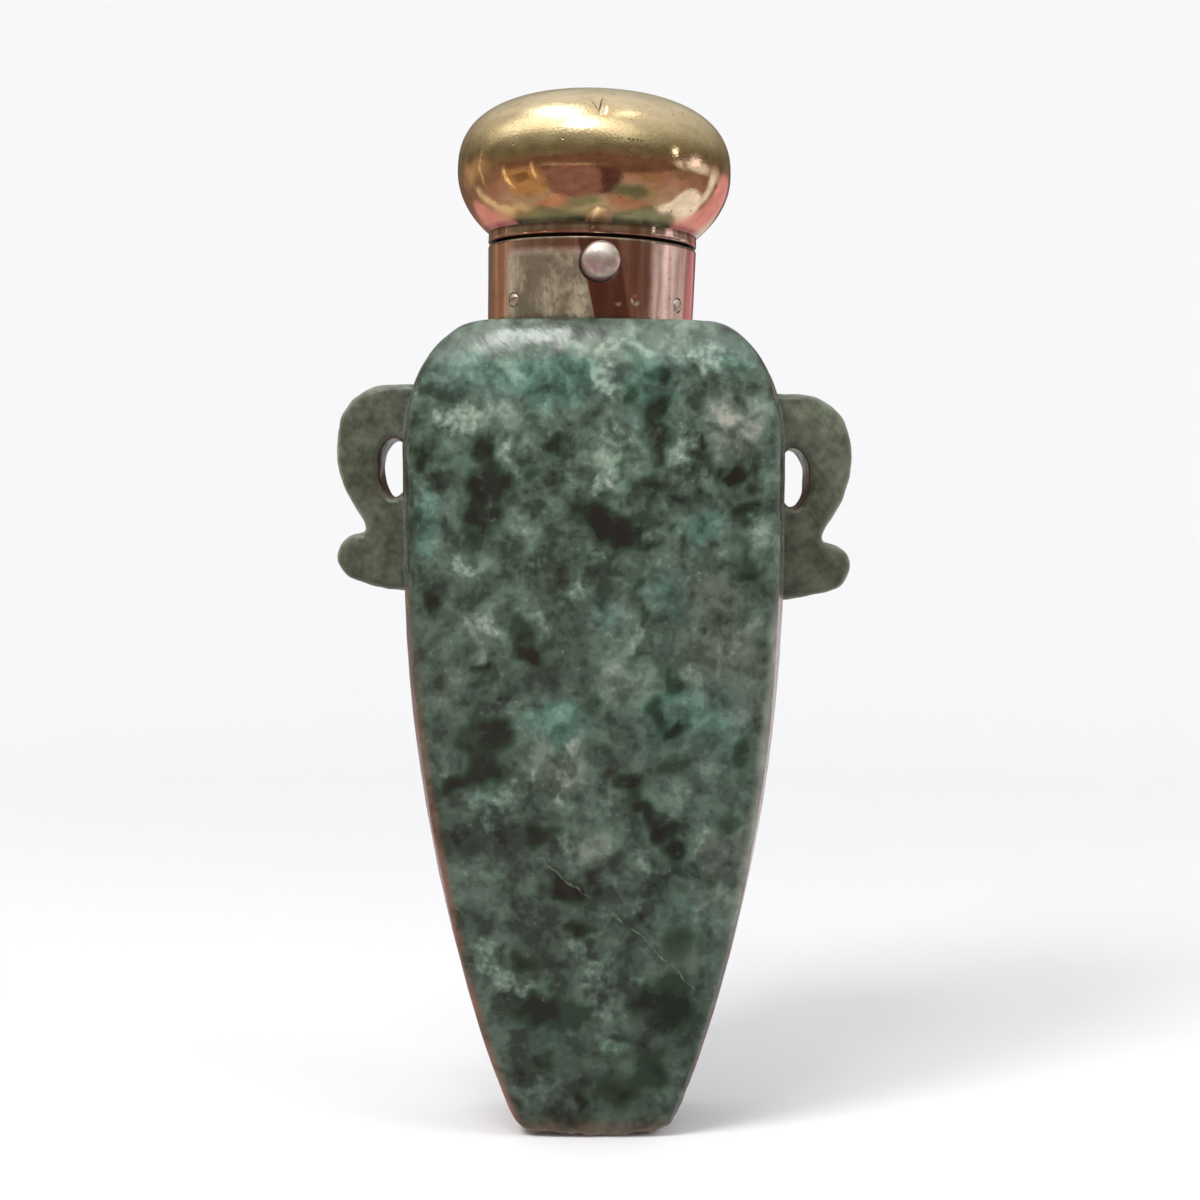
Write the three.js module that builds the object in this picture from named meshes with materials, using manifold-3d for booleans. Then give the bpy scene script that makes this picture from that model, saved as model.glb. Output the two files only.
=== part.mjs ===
import * as THREE from "three";
import { mergeVertices } from "three/addons/utils/BufferGeometryUtils.js";
import Module from "manifold-3d";

// Perfume bottle carved from moss agate, with a gilt collar and a hinged, hollow gilt lid.
// Millimetres, +Z up, the front looks towards -Y. The origin is the middle of the underside.

// Stone body
const SHOULDER_HEIGHT = 75.7;
const BELLY_HEIGHT = 57;
const BELLY_HALF_WIDTH = 18;
const BELLY_HALF_DEPTH = 12.5;
const FOOT_HALF_WIDTH = 7;
const FOOT_HALF_DEPTH = 7;
const FLARE_POWER = 0.82;
const SHOULDER_FLAT_HALF_WIDTH = 10.6;
const SHOULDER_FLAT_HALF_DEPTH = 10.5;
const SHOULDER_DROP_AT_SIDES = 11.5;
const SHOULDER_DROP_AT_FACES = 4.6;
const FLANK_SWELL = 1.3;
const FACE_SWELL = 0.9;
const RIDGE_RADIUS = 0.9;
const BASE_ROUND_HEIGHT = 1.8;
const BASE_ROUND_AT_SIDES = 2.2;
const BASE_ROUND_AT_FACES = 1.3;

// Hollow of the stone
const STONE_WALL = 3.5;
const CAVITY_FLOOR = 5.5;
const CAVITY_CEILING = 69.5;
const CAVITY_ROUND = 3.6;
const BORE_RADIUS = 4;

// Handles
const HANDLE_REACH = 24.2;
const HANDLE_THICKNESS = 7.7;
const HANDLE_EDGE_ROUND = 0.7;
const HANDLE_TOP = 70.3;
const HANDLE_HEIGHT = 19.4;
const RIGHT_HANDLE_DROP = 0.9;
const HANDLE_HOLE_SHARE = 0.355;
const HANDLE_HOLE_HEIGHT = 5.6;
const HANDLE_HOLE_DEPTH_BELOW_TOP = 7.9;

// Gilt fitting: it leans to the right and is turned a little on the neck
const FITTING_LEAN = THREE.MathUtils.degToRad(1.5);
const FITTING_TURN = THREE.MathUtils.degToRad(4.5);
const FITTING_OFFSET = -0.36;
const SEAT_GAP = 0.3;
const COLLAR_HEIGHT = 7.2;
const COLLAR_RADIUS = 9.9;
const COLLAR_FOOT_RADIUS = 9.72;
const COLLAR_WALL = 1.2;
const NECK_CLEARANCE = 0.3;
const NECK_RISE_ABOVE_SCREWS = 0.75;
const BEZEL_WALL = 0.42;
const BEZEL_RISE = 0.9;

// Lid
const SEAM_GAP = 0.3;
const LID_WALL = 0.55;
const LID_BAND_HEIGHT = 1;
const LID_SWELL_RADIUS = 13;
const LID_SWELL_RISE = 5.8;
const LID_CROWN_RISE = 7.55;
const LID_CROWN_POWER = 2.5;

// Hinge behind the seam
const PIN_RADIUS = 0.35;
const PIN_CLEARANCE = 0.25;
const KNUCKLE_RADIUS = 1.05;
const KNUCKLE_CLEARANCE = 0.25;
const KNUCKLE_GAP = 0.3;
const KNUCKLE_LENGTH = 2.6;
const HINGE_LEAF = 0.6;

// Push button
const BUTTON_RADIUS = 1.7;
const BUTTON_CLEARANCE = 0.25;
const BUTTON_LAND = 0.35;
const BUTTON_STANDS_PROUD = 2.6;
const BUTTON_DOME = 0.9;
const BUTTON_FLANGE = 0.55;
const BUTTON_FLANGE_THICKNESS = 0.7;

// Screws that hold the collar to the neck
const SCREW_ANGLES = { screw_left: -51.5, screw_right: 51.5, screw_back: 180 };
const SCREW_HEIGHT = 1.6;
const SCREW_HEAD_RADIUS = 0.62;
const SCREW_HEAD_THICKNESS = 0.55;
const SCREW_HEAD_PROUD = 0.18;
const SCREW_SHANK_RADIUS = 0.3;
const SCREW_SHANK_LENGTH = 2.4;
const SCREW_CLEARANCE = 0.15;
const SCREW_SLOT_WIDTH = 0.22;
const SCREW_SLOT_DEPTH = 0.25;

// Fineness of the surfaces
const FACE_STEPS = 6;
const FLANK_STEPS = 4;
const RIDGE_STEPS = 2;
const ROUND_STEPS = 48;
const SMALL_ROUND_STEPS = 16;
const BORE_STEPS = 24;
const BUTTON_STEPS = 32;
const BASE_LEVELS = 3;
const FLANK_LEVELS = 10;
const SHOULDER_LEVELS = 8;
const CAVITY_ROUND_LEVELS = 3;
const CAVITY_LEVELS = 8;
const LID_UNDER_STEPS = 5;
const LID_CROWN_STEPS = 8;
const BUTTON_DOME_STEPS = 5;
const SCROLL_STEPS = 20;
const FOOT_STEPS = 14;
const HOLE_STEPS = 14;
const EXTRA = 1;

const wasm = await Module();
wasm.setup();

// A closed geometry as a solid that can be joined and cut.
function solid(geometry) {
  const bare = geometry.clone();
  bare.deleteAttribute("normal");
  bare.deleteAttribute("uv");
  const merged = mergeVertices(bare);
  const corners = merged.index.array;
  const kept = [];
  for (let i = 0; i < corners.length; i += 3) {
    const [a, b, c] = corners.slice(i, i + 3);
    if (a !== b && b !== c && c !== a) kept.push(a, b, c);
  }
  return new wasm.Manifold(
    new wasm.Mesh({
      numProp: 3,
      vertProperties: merged.attributes.position.array,
      triVerts: new Uint32Array(kept),
    }),
  );
}

// A solid as a geometry that can be drawn.
function geometryOf(body) {
  const mesh = body.getMesh();
  const geometry = new THREE.BufferGeometry();
  geometry.setAttribute("position", new THREE.BufferAttribute(mesh.vertProperties, 3));
  geometry.setIndex(new THREE.BufferAttribute(mesh.triVerts, 1));
  geometry.computeVertexNormals();
  return geometry;
}

// A profile of [radius, height] pairs, turned about +Z.
function turned(profile, steps) {
  const points = profile.map(([radius, height]) => new THREE.Vector2(radius, height));
  return new THREE.LatheGeometry(points, steps).rotateX(Math.PI / 2);
}

// A round rod along +Z from one height to another.
function rod(radius, from, to, steps) {
  const length = to - from;
  return new THREE.CylinderGeometry(radius, radius, length, steps)
    .rotateX(Math.PI / 2)
    .translate(0, 0, from + length / 2);
}

// A block given by its lowest and highest corners.
function block(low, high) {
  const size = high.map((value, axis) => value - low[axis]);
  const middle = high.map((value, axis) => (value + low[axis]) / 2);
  return new THREE.BoxGeometry(...size).translate(...middle);
}

// Stone body: its half-width and half-depth at each height.
function flare(foot, belly, height) {
  const share = Math.min(height / BELLY_HEIGHT, 1);
  return foot + (belly - foot) * Math.sin((Math.PI / 2) * share ** FLARE_POWER);
}

function shoulder(full, flat, drop, height) {
  const climb = Math.max(0, height - (SHOULDER_HEIGHT - drop)) / drop;
  return flat + (full - flat) * Math.sqrt(Math.max(0, 1 - climb ** 2));
}

function baseInset(round, height) {
  const below = Math.max(0, BASE_ROUND_HEIGHT - height) / BASE_ROUND_HEIGHT;
  return round * (1 - Math.sqrt(1 - below ** 2));
}

function stoneHalfSizes(height) {
  const width = shoulder(
    flare(FOOT_HALF_WIDTH, BELLY_HALF_WIDTH, height),
    SHOULDER_FLAT_HALF_WIDTH,
    SHOULDER_DROP_AT_SIDES,
    height,
  );
  const depth = shoulder(
    flare(FOOT_HALF_DEPTH, BELLY_HALF_DEPTH, height),
    SHOULDER_FLAT_HALF_DEPTH,
    SHOULDER_DROP_AT_FACES,
    height,
  );
  return [
    width - baseInset(BASE_ROUND_AT_SIDES, height),
    depth - baseInset(BASE_ROUND_AT_FACES, height),
  ];
}

// One level's outline: a rectangle with rounded ridges whose faces and flanks swell outwards.
function outline(halfWidth, halfDepth) {
  const share = halfWidth / BELLY_HALF_WIDTH;
  const flankSwell = FLANK_SWELL * share;
  const faceSwell = FACE_SWELL * share;
  const sideX = halfWidth - flankSwell;
  const sideY = halfDepth - faceSwell;
  const ridges = [[1, -1], [1, 1], [-1, 1], [-1, -1]];
  const points = [];
  ridges.forEach(([signX, signY], ridge) => {
    const centre = new THREE.Vector2(signX * (sideX - RIDGE_RADIUS), signY * (sideY - RIDGE_RADIUS));
    for (let step = 0; step <= RIDGE_STEPS; step++) {
      const angle = (ridge - 1 + step / RIDGE_STEPS) * (Math.PI / 2);
      points.push(
        new THREE.Vector2(Math.cos(angle), Math.sin(angle)).multiplyScalar(RIDGE_RADIUS).add(centre),
      );
    }
    const alongFlank = ridge % 2 === 0;
    const steps = alongFlank ? FLANK_STEPS : FACE_STEPS;
    const from = points[points.length - 1];
    const to = alongFlank
      ? new THREE.Vector2(from.x, -from.y)
      : new THREE.Vector2(-from.x, from.y);
    for (let step = 1; step < steps; step++) {
      points.push(from.clone().lerp(to, step / steps));
    }
  });
  return points.map(({ x, y }) => [
    x * (1 + (flankSwell / sideX) * (1 - (y / sideY) ** 2)),
    y * (1 + (faceSwell / sideY) * (1 - (x / sideX) ** 2)),
  ]);
}

// A stack of outlines, one at each height, closed by flat ends: the rings of a cylinder, moved.
function stacked(heights, outlineAt) {
  const rings = heights.map(outlineAt);
  const count = rings[0].length;
  const geometry = new THREE.CylinderGeometry(1, 1, 1, count, heights.length - 1);
  const place = geometry.attributes.position;
  for (let i = 0; i < place.count; i++) {
    const level = Math.round((place.getY(i) + 0.5) * (heights.length - 1));
    const turn = Math.atan2(place.getX(i), place.getZ(i)) / (2 * Math.PI);
    const onAxis = Math.hypot(place.getX(i), place.getZ(i)) < 0.5;
    const [x, y] = onAxis ? [0, 0] : rings[level][Math.round((turn + 1) * count) % count];
    place.setXYZ(i, x, y, heights[level]);
  }
  return geometry;
}

function range(count, from, to) {
  return Array.from({ length: count + 1 }, (_, i) => from + ((to - from) * i) / count);
}

function bodyHeights() {
  const quarter = Math.PI / 2;
  const shoulderStart = SHOULDER_HEIGHT - SHOULDER_DROP_AT_SIDES;
  const base = range(BASE_LEVELS, 0, quarter).map((angle) => BASE_ROUND_HEIGHT * (1 - Math.cos(angle)));
  const flank = range(FLANK_LEVELS, BASE_ROUND_HEIGHT, shoulderStart).slice(1);
  const top = range(SHOULDER_LEVELS, 0, quarter).slice(1);
  const rise = top.map((angle) => shoulderStart + SHOULDER_DROP_AT_SIDES * Math.sin(angle));
  return [...base, ...flank, ...rise];
}

function stoneBody() {
  return stacked(bodyHeights(), (height) => outline(...stoneHalfSizes(height)));
}

// The hollow follows the outside at the wall's thickness and is rounded at its floor and ceiling.
function cavity() {
  const angles = range(CAVITY_ROUND_LEVELS, 0, Math.PI / 2);
  const round = angles.map((angle) => CAVITY_ROUND * (1 - Math.cos(angle)));
  const low = round.map((rise) => CAVITY_FLOOR + rise);
  const high = round.map((rise) => CAVITY_CEILING - rise).reverse();
  const middle = range(CAVITY_LEVELS, low[low.length - 1], high[0]).slice(1, -1);
  return stacked([...low, ...middle, ...high], (height) => {
    const fromEnd = Math.min(height - CAVITY_FLOOR, CAVITY_CEILING - height, CAVITY_ROUND);
    const inset = CAVITY_ROUND - Math.sqrt(CAVITY_ROUND ** 2 - (CAVITY_ROUND - fromEnd) ** 2);
    const [halfWidth, halfDepth] = stoneHalfSizes(height);
    return outline(halfWidth - STONE_WALL - inset, halfDepth - STONE_WALL - inset);
  });
}

// One handle seen from the front: a C scroll over a small curled foot, with a notch between them.
// Points are shares of the reach beyond the flank and of the handle's height below its top.
const SCROLL = [[0.04, 0], [0.43, 0.012], [0.74, 0.07], [0.925, 0.165], [1, 0.3], [0.975, 0.4],
  [0.87, 0.51], [0.74, 0.59], [0.585, 0.66], [0.545, 0.705]];
const FOOT = [[0.57, 0.72], [0.78, 0.735], [0.925, 0.77], [0.985, 0.82], [0.965, 0.87],
  [0.87, 0.918], [0.74, 0.948], [0.36, 0.98], [0, 1]];

function handle(side, top) {
  const place = ([out, down]) =>
    new THREE.Vector2(
      side * (BELLY_HALF_WIDTH + out * (HANDLE_REACH - BELLY_HALF_WIDTH)),
      top - down * HANDLE_HEIGHT,
    );
  const root = side * (BELLY_HALF_WIDTH - FLANK_SWELL - STONE_WALL / 2);
  const shape = new THREE.Shape([
    new THREE.Vector2(root, top - HANDLE_HEIGHT),
    new THREE.Vector2(root, top),
    ...new THREE.SplineCurve(SCROLL.map(place)).getPoints(SCROLL_STEPS),
    ...new THREE.SplineCurve(FOOT.map(place)).getPoints(FOOT_STEPS),
  ]);
  const holeInside = BELLY_HALF_WIDTH - HANDLE_EDGE_ROUND;
  const holeOutside = BELLY_HALF_WIDTH + HANDLE_HOLE_SHARE * (HANDLE_REACH - BELLY_HALF_WIDTH);
  const hole = new THREE.EllipseCurve(
    side * (holeInside + holeOutside) / 2,
    top - HANDLE_HOLE_DEPTH_BELOW_TOP,
    (holeOutside - holeInside) / 2,
    HANDLE_HOLE_HEIGHT / 2,
  );
  shape.holes.push(new THREE.Path(hole.getPoints(HOLE_STEPS)));
  return new THREE.ExtrudeGeometry(shape, {
    depth: HANDLE_THICKNESS - 2 * HANDLE_EDGE_ROUND,
    steps: 1,
    bevelEnabled: true,
    bevelThickness: HANDLE_EDGE_ROUND,
    bevelSize: HANDLE_EDGE_ROUND,
    bevelOffset: -HANDLE_EDGE_ROUND,
    bevelSegments: 2,
  })
    .translate(0, 0, HANDLE_EDGE_ROUND - HANDLE_THICKNESS / 2)
    .rotateX(Math.PI / 2);
}

// The fitting's own frame: its axis is +Z, its foot is at zero and its front is -Y.
const fitting = new THREE.Group();
fitting.position.set(FITTING_OFFSET, 0, SHOULDER_HEIGHT + SEAT_GAP);
fitting.rotation.set(0, FITTING_LEAN, FITTING_TURN);
fitting.updateMatrix();
const toStone = fitting.matrix;
const fromStone = toStone.clone().invert();

const COLLAR_BORE = COLLAR_FOOT_RADIUS - COLLAR_WALL;
const NECK_RADIUS = COLLAR_BORE - NECK_CLEARANCE;
const NECK_TOP = SCREW_HEIGHT + NECK_RISE_ABOVE_SCREWS;
const LID_FOOT = COLLAR_HEIGHT + SEAM_GAP;
const LID_BORE = COLLAR_RADIUS - LID_WALL;
const BEZEL_RADIUS = COLLAR_BORE + BEZEL_WALL;
const HINGE_BACK = COLLAR_RADIUS + KNUCKLE_RADIUS + KNUCKLE_CLEARANCE;
const HINGE_HEIGHT = COLLAR_HEIGHT;
const BUTTON_HEIGHT = COLLAR_HEIGHT - BUTTON_LAND - BUTTON_CLEARANCE - BUTTON_RADIUS;
const SCREW_SEAT = COLLAR_FOOT_RADIUS + SCREW_HEAD_PROUD - SCREW_HEAD_THICKNESS;

// Turns what is modelled along +Z outwards to one side of the fitting: 0 is the front, 90 the right.
function outwards(degrees, height) {
  return new THREE.Matrix4()
    .makeRotationZ(THREE.MathUtils.degToRad(degrees))
    .multiply(new THREE.Matrix4().makeRotationX(Math.PI / 2))
    .setPosition(0, 0, height);
}

// A cylinder across the back of the fitting, on the hinge's axis, which lies level with the collar's rim.
function acrossHinge(radius, from, to) {
  return rod(radius, from, to, SMALL_ROUND_STEPS)
    .rotateY(Math.PI / 2)
    .translate(0, HINGE_BACK, HINGE_HEIGHT);
}

function stoneWithHandles() {
  const neck = rod(NECK_RADIUS, -COLLAR_HEIGHT / 2, NECK_TOP, ROUND_STEPS).applyMatrix4(toStone);
  const boreFoot = CAVITY_CEILING - SHOULDER_HEIGHT - SEAT_GAP - EXTRA;
  const bore = rod(BORE_RADIUS, boreFoot, NECK_TOP + EXTRA, BORE_STEPS).applyMatrix4(toStone);
  let stone = solid(stoneBody())
    .add(solid(handle(-1, HANDLE_TOP)))
    .add(solid(handle(1, HANDLE_TOP - RIGHT_HANDLE_DROP)))
    .add(solid(neck))
    .subtract(solid(cavity()))
    .subtract(solid(bore));
  for (const degrees of Object.values(SCREW_ANGLES)) {
    const hole = rod(
      SCREW_SHANK_RADIUS + SCREW_CLEARANCE,
      SCREW_SEAT - SCREW_SHANK_LENGTH - SCREW_CLEARANCE,
      COLLAR_BORE + EXTRA,
      SMALL_ROUND_STEPS,
    );
    hole.applyMatrix4(outwards(degrees, SCREW_HEIGHT)).applyMatrix4(toStone);
    stone = stone.subtract(solid(hole));
  }
  return geometryOf(stone);
}

// The collar's tube with its bezel, two hinge knuckles, the button's bore and the screws' seats.
function collar() {
  const below = -EXTRA;
  const top = COLLAR_HEIGHT + BEZEL_RISE;
  const ring = [
    [COLLAR_FOOT_RADIUS, below],
    [COLLAR_FOOT_RADIUS, 0],
    [COLLAR_RADIUS, COLLAR_HEIGHT],
    [BEZEL_RADIUS, COLLAR_HEIGHT],
    [BEZEL_RADIUS, top],
    [COLLAR_BORE, top],
    [COLLAR_BORE, below],
    [COLLAR_FOOT_RADIUS, below],
  ];
  let body = solid(turned(ring, ROUND_STEPS));
  const inner = KNUCKLE_LENGTH / 2 + KNUCKLE_GAP;
  const outer = inner + KNUCKLE_LENGTH;
  const leafTop = HINGE_HEIGHT - PIN_RADIUS / 2;
  for (const side of [-1, 1]) {
    const from = Math.min(side * inner, side * outer);
    const to = from + KNUCKLE_LENGTH;
    const leaf = block([from, 0, leafTop - HINGE_LEAF], [to, HINGE_BACK, leafTop]);
    body = body.add(solid(acrossHinge(KNUCKLE_RADIUS, from, to))).add(solid(leaf));
  }
  const boreCut = rod(COLLAR_BORE, below - EXTRA, top + EXTRA, ROUND_STEPS);
  const pinHole = acrossHinge(PIN_RADIUS + PIN_CLEARANCE, -outer - EXTRA, outer + EXTRA);
  const buttonBore = rod(
    BUTTON_RADIUS + BUTTON_CLEARANCE,
    COLLAR_BORE - 2 * EXTRA,
    COLLAR_RADIUS + EXTRA,
    BUTTON_STEPS,
  ).applyMatrix4(outwards(0, BUTTON_HEIGHT));
  const level = SHOULDER_HEIGHT + SEAT_GAP;
  const wide = 2 * COLLAR_RADIUS;
  const belowFoot = block([-wide, -wide, level - wide], [wide, wide, level]).applyMatrix4(fromStone);
  body = body
    .subtract(solid(boreCut))
    .subtract(solid(pinHole))
    .subtract(solid(buttonBore))
    .subtract(solid(belowFoot));
  for (const degrees of Object.values(SCREW_ANGLES)) {
    const place = outwards(degrees, SCREW_HEIGHT);
    const shank = SCREW_SHANK_RADIUS + SCREW_CLEARANCE;
    const head = SCREW_HEAD_RADIUS + SCREW_CLEARANCE;
    const hole = rod(shank, COLLAR_BORE - EXTRA, COLLAR_RADIUS, SMALL_ROUND_STEPS).applyMatrix4(place);
    const seat = rod(
      head,
      SCREW_SEAT - SCREW_CLEARANCE,
      COLLAR_RADIUS + EXTRA,
      SMALL_ROUND_STEPS,
    ).applyMatrix4(place);
    body = body.subtract(solid(hole)).subtract(solid(seat));
  }
  return geometryOf(body);
}

// One side of the lid's wall, from its foot to its crown, drawn inwards by a margin.
function lidCurve(margin) {
  const swellHeight = LID_FOOT + LID_BAND_HEIGHT + LID_SWELL_RISE;
  const bandAngle = Math.acos(COLLAR_RADIUS / LID_SWELL_RADIUS);
  const underDrop = LID_SWELL_RISE / Math.sin(bandAngle);
  const under = range(LID_UNDER_STEPS, bandAngle, 0).map((angle) => [
    LID_SWELL_RADIUS * Math.cos(angle) - margin,
    swellHeight - underDrop * Math.sin(angle),
  ]);
  const crown = range(LID_CROWN_STEPS, 0, Math.PI / 2).slice(1).map((angle) => [
    (LID_SWELL_RADIUS - margin) * Math.max(0, Math.cos(angle)) ** (2 / LID_CROWN_POWER),
    swellHeight + (LID_CROWN_RISE - margin) * Math.sin(angle) ** (2 / LID_CROWN_POWER),
  ]);
  return [[COLLAR_RADIUS - margin, LID_FOOT], ...under, ...crown];
}

function lid() {
  const profile = [...lidCurve(LID_WALL).reverse(), ...lidCurve(0)];
  const half = KNUCKLE_LENGTH / 2;
  const leaf = block(
    [-half, LID_BORE + LID_WALL / 2, LID_FOOT],
    [half, HINGE_BACK, LID_FOOT + HINGE_LEAF],
  );
  const pinHole = acrossHinge(PIN_RADIUS + PIN_CLEARANCE, -half - EXTRA, half + EXTRA);
  const body = solid(turned(profile, ROUND_STEPS))
    .add(solid(acrossHinge(KNUCKLE_RADIUS, -half, half)))
    .add(solid(leaf))
    .subtract(solid(pinHole));
  return geometryOf(body);
}

function hingePin() {
  const half = KNUCKLE_LENGTH / 2 + KNUCKLE_GAP + KNUCKLE_LENGTH;
  return acrossHinge(PIN_RADIUS, -half, half);
}

// The button lies along +Z: a flange that keeps it in, the shank in its bore and the domed head.
function pushButton() {
  const flangeRadius = BUTTON_RADIUS + BUTTON_FLANGE;
  const flangeFace = Math.sqrt(COLLAR_BORE ** 2 - flangeRadius ** 2) - BUTTON_CLEARANCE;
  const tip = COLLAR_RADIUS + BUTTON_STANDS_PROUD;
  const dome = range(BUTTON_DOME_STEPS, 0, Math.PI / 2).map((angle) => [
    BUTTON_RADIUS * Math.max(0, Math.cos(angle)),
    tip - BUTTON_DOME + BUTTON_DOME * Math.sin(angle),
  ]);
  const profile = [
    [0, flangeFace - BUTTON_FLANGE_THICKNESS],
    [flangeRadius, flangeFace - BUTTON_FLANGE_THICKNESS],
    [flangeRadius, flangeFace],
    [BUTTON_RADIUS, flangeFace],
    ...dome,
  ];
  return turned(profile, BUTTON_STEPS);
}

// A screw along +Z: shank, flat head and its slot.
function screw() {
  const headTop = SCREW_SEAT + SCREW_HEAD_THICKNESS;
  const profile = [
    [0, SCREW_SEAT - SCREW_SHANK_LENGTH],
    [SCREW_SHANK_RADIUS, SCREW_SEAT - SCREW_SHANK_LENGTH],
    [SCREW_SHANK_RADIUS, SCREW_SEAT],
    [SCREW_HEAD_RADIUS, SCREW_SEAT],
    [SCREW_HEAD_RADIUS, headTop],
    [0, headTop],
  ];
  const slot = block(
    [-SCREW_HEAD_RADIUS - EXTRA, -SCREW_SLOT_WIDTH / 2, headTop - SCREW_SLOT_DEPTH],
    [SCREW_HEAD_RADIUS + EXTRA, SCREW_SLOT_WIDTH / 2, headTop + EXTRA],
  );
  return geometryOf(solid(turned(profile, SMALL_ROUND_STEPS)).subtract(solid(slot)));
}

function piece(name, geometry, material) {
  const mesh = new THREE.Mesh(geometry, material);
  mesh.name = name;
  return mesh;
}

function finish(color, roughness, metalness) {
  return new THREE.MeshStandardMaterial({ color, roughness, metalness });
}

const stoneFinish = () => finish(0x5c7268, 0.25, 0);
const giltFinish = () => finish(0xb58e5c, 0.25, 1);
const silverFinish = () => finish(0xd0ccc8, 0.3, 1);

const bottle = new THREE.Group();
bottle.add(piece("bottle", stoneWithHandles(), stoneFinish()));
bottle.add(fitting);
fitting.add(piece("collar", collar(), giltFinish()));
fitting.add(piece("lid", lid(), giltFinish()));
fitting.add(piece("hinge_pin", hingePin(), silverFinish()));

const button = piece("push_button", pushButton(), silverFinish());
button.applyMatrix4(outwards(0, BUTTON_HEIGHT));
fitting.add(button);

for (const [name, degrees] of Object.entries(SCREW_ANGLES)) {
  const fastener = piece(name, screw(), silverFinish());
  fastener.applyMatrix4(outwards(degrees, SCREW_HEIGHT));
  fitting.add(fastener);
}

export default bottle;
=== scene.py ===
"""A moss agate perfume bottle with a hinged gilt lid. In metres, +Z up, front towards -Y."""

import math

import bpy
import numpy as np
from mathutils import Matrix, Vector, noise

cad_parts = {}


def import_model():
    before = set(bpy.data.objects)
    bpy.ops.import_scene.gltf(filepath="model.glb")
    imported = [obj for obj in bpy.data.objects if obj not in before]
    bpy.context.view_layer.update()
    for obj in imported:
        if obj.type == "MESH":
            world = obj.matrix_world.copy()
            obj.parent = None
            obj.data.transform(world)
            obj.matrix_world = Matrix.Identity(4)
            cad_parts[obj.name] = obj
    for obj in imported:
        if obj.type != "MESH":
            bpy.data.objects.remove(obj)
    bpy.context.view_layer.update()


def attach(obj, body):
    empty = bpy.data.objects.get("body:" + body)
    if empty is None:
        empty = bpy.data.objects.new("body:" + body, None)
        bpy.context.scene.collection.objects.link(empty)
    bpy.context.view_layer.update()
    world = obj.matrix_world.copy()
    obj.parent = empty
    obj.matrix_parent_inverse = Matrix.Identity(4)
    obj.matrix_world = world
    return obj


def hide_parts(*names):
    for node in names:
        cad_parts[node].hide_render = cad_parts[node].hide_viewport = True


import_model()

# Sizes are in millimetres until a mesh is made.
MM = 0.001

# Stone body
SHOULDER_HEIGHT = 75.7
BELLY_HEIGHT = 57.0
BELLY_HALF_WIDTH = 18.0
BELLY_HALF_DEPTH = 12.5
FOOT_HALF_WIDTH = 7.0
FOOT_HALF_DEPTH = 7.0
FLARE_POWER = 0.82
SHOULDER_FLAT_HALF_WIDTH = 10.6
SHOULDER_FLAT_HALF_DEPTH = 10.5
SHOULDER_DROP_AT_SIDES = 11.5
SHOULDER_DROP_AT_FACES = 4.6
SHOULDER_POWER_AT_FACES = 1.3
FLANK_SWELL = 1.3
FACE_SWELL = 0.9
RIDGE_RADIUS = 0.9
BASE_ROUND_HEIGHT = 1.8
BASE_ROUND_AT_SIDES = 2.2
BASE_ROUND_AT_FACES = 1.3
RIDGES = ((1, -1), (1, 1), (-1, 1), (-1, -1))

# Hollow of the stone
STONE_WALL = 3.5
CAVITY_FLOOR = 5.5
CAVITY_CEILING = 69.5
CAVITY_ROUND = 3.6
BORE_RADIUS = 4.0

# Handles
HANDLE_REACH = 24.2
HANDLE_THICKNESS = 7.7
HANDLE_EDGE_ROUND = 0.7
HANDLE_TOP = 70.3
HANDLE_HEIGHT = 19.4
RIGHT_HANDLE_DROP = 0.9
HANDLE_HOLE_SHARE = 0.355
HANDLE_HOLE_HEIGHT = 5.6
HANDLE_HOLE_DEPTH_BELOW_TOP = 7.9

# Gilt fitting
FITTING_LEAN = math.radians(1.5)
FITTING_TURN = math.radians(4.5)
FITTING_OFFSET = -0.36
SEAT_GAP = 0.3
COLLAR_HEIGHT = 7.2
COLLAR_RADIUS = 9.9
COLLAR_FOOT_RADIUS = 9.72
COLLAR_WALL = 1.2
NECK_CLEARANCE = 0.3
NECK_RISE_ABOVE_SCREWS = 0.75
BEZEL_WALL = 0.42
BEZEL_RISE = 0.9

# Lid
SEAM_GAP = 0.3
LID_WALL = 0.55
LID_BAND_HEIGHT = 1.0
LID_SWELL_RADIUS = 13.0
LID_SWELL_RISE = 5.8
LID_CROWN_RISE = 7.55
LID_CROWN_POWER = 2.5
LID_OUTSIDE_MARGIN = 0.03

# Eased edges, and the dents of hand-raised metal: depth, size and seed
COLLAR_EDGE = 0.12
LID_EDGE = 0.1
PIN_EDGE = 0.08
COLLAR_DENTS = (0.018, 3.0, 11)
LID_DENTS = (0.02, 4.2, 21)

# Hinge
PIN_RADIUS = 0.35
PIN_CLEARANCE = 0.25
KNUCKLE_RADIUS = 1.05
KNUCKLE_CLEARANCE = 0.25
KNUCKLE_GAP = 0.3
KNUCKLE_LENGTH = 2.6
HINGE_LEAF = 0.6
LEAF_INSET = 0.05

# Push button
BUTTON_RADIUS = 1.7
BUTTON_CLEARANCE = 0.25
BUTTON_LAND = 0.35
BUTTON_STANDS_PROUD = 2.6
BUTTON_DOME = 0.9
BUTTON_FLANGE = 0.55
BUTTON_FLANGE_THICKNESS = 0.7
BUTTON_WEAR = 0.012

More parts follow.
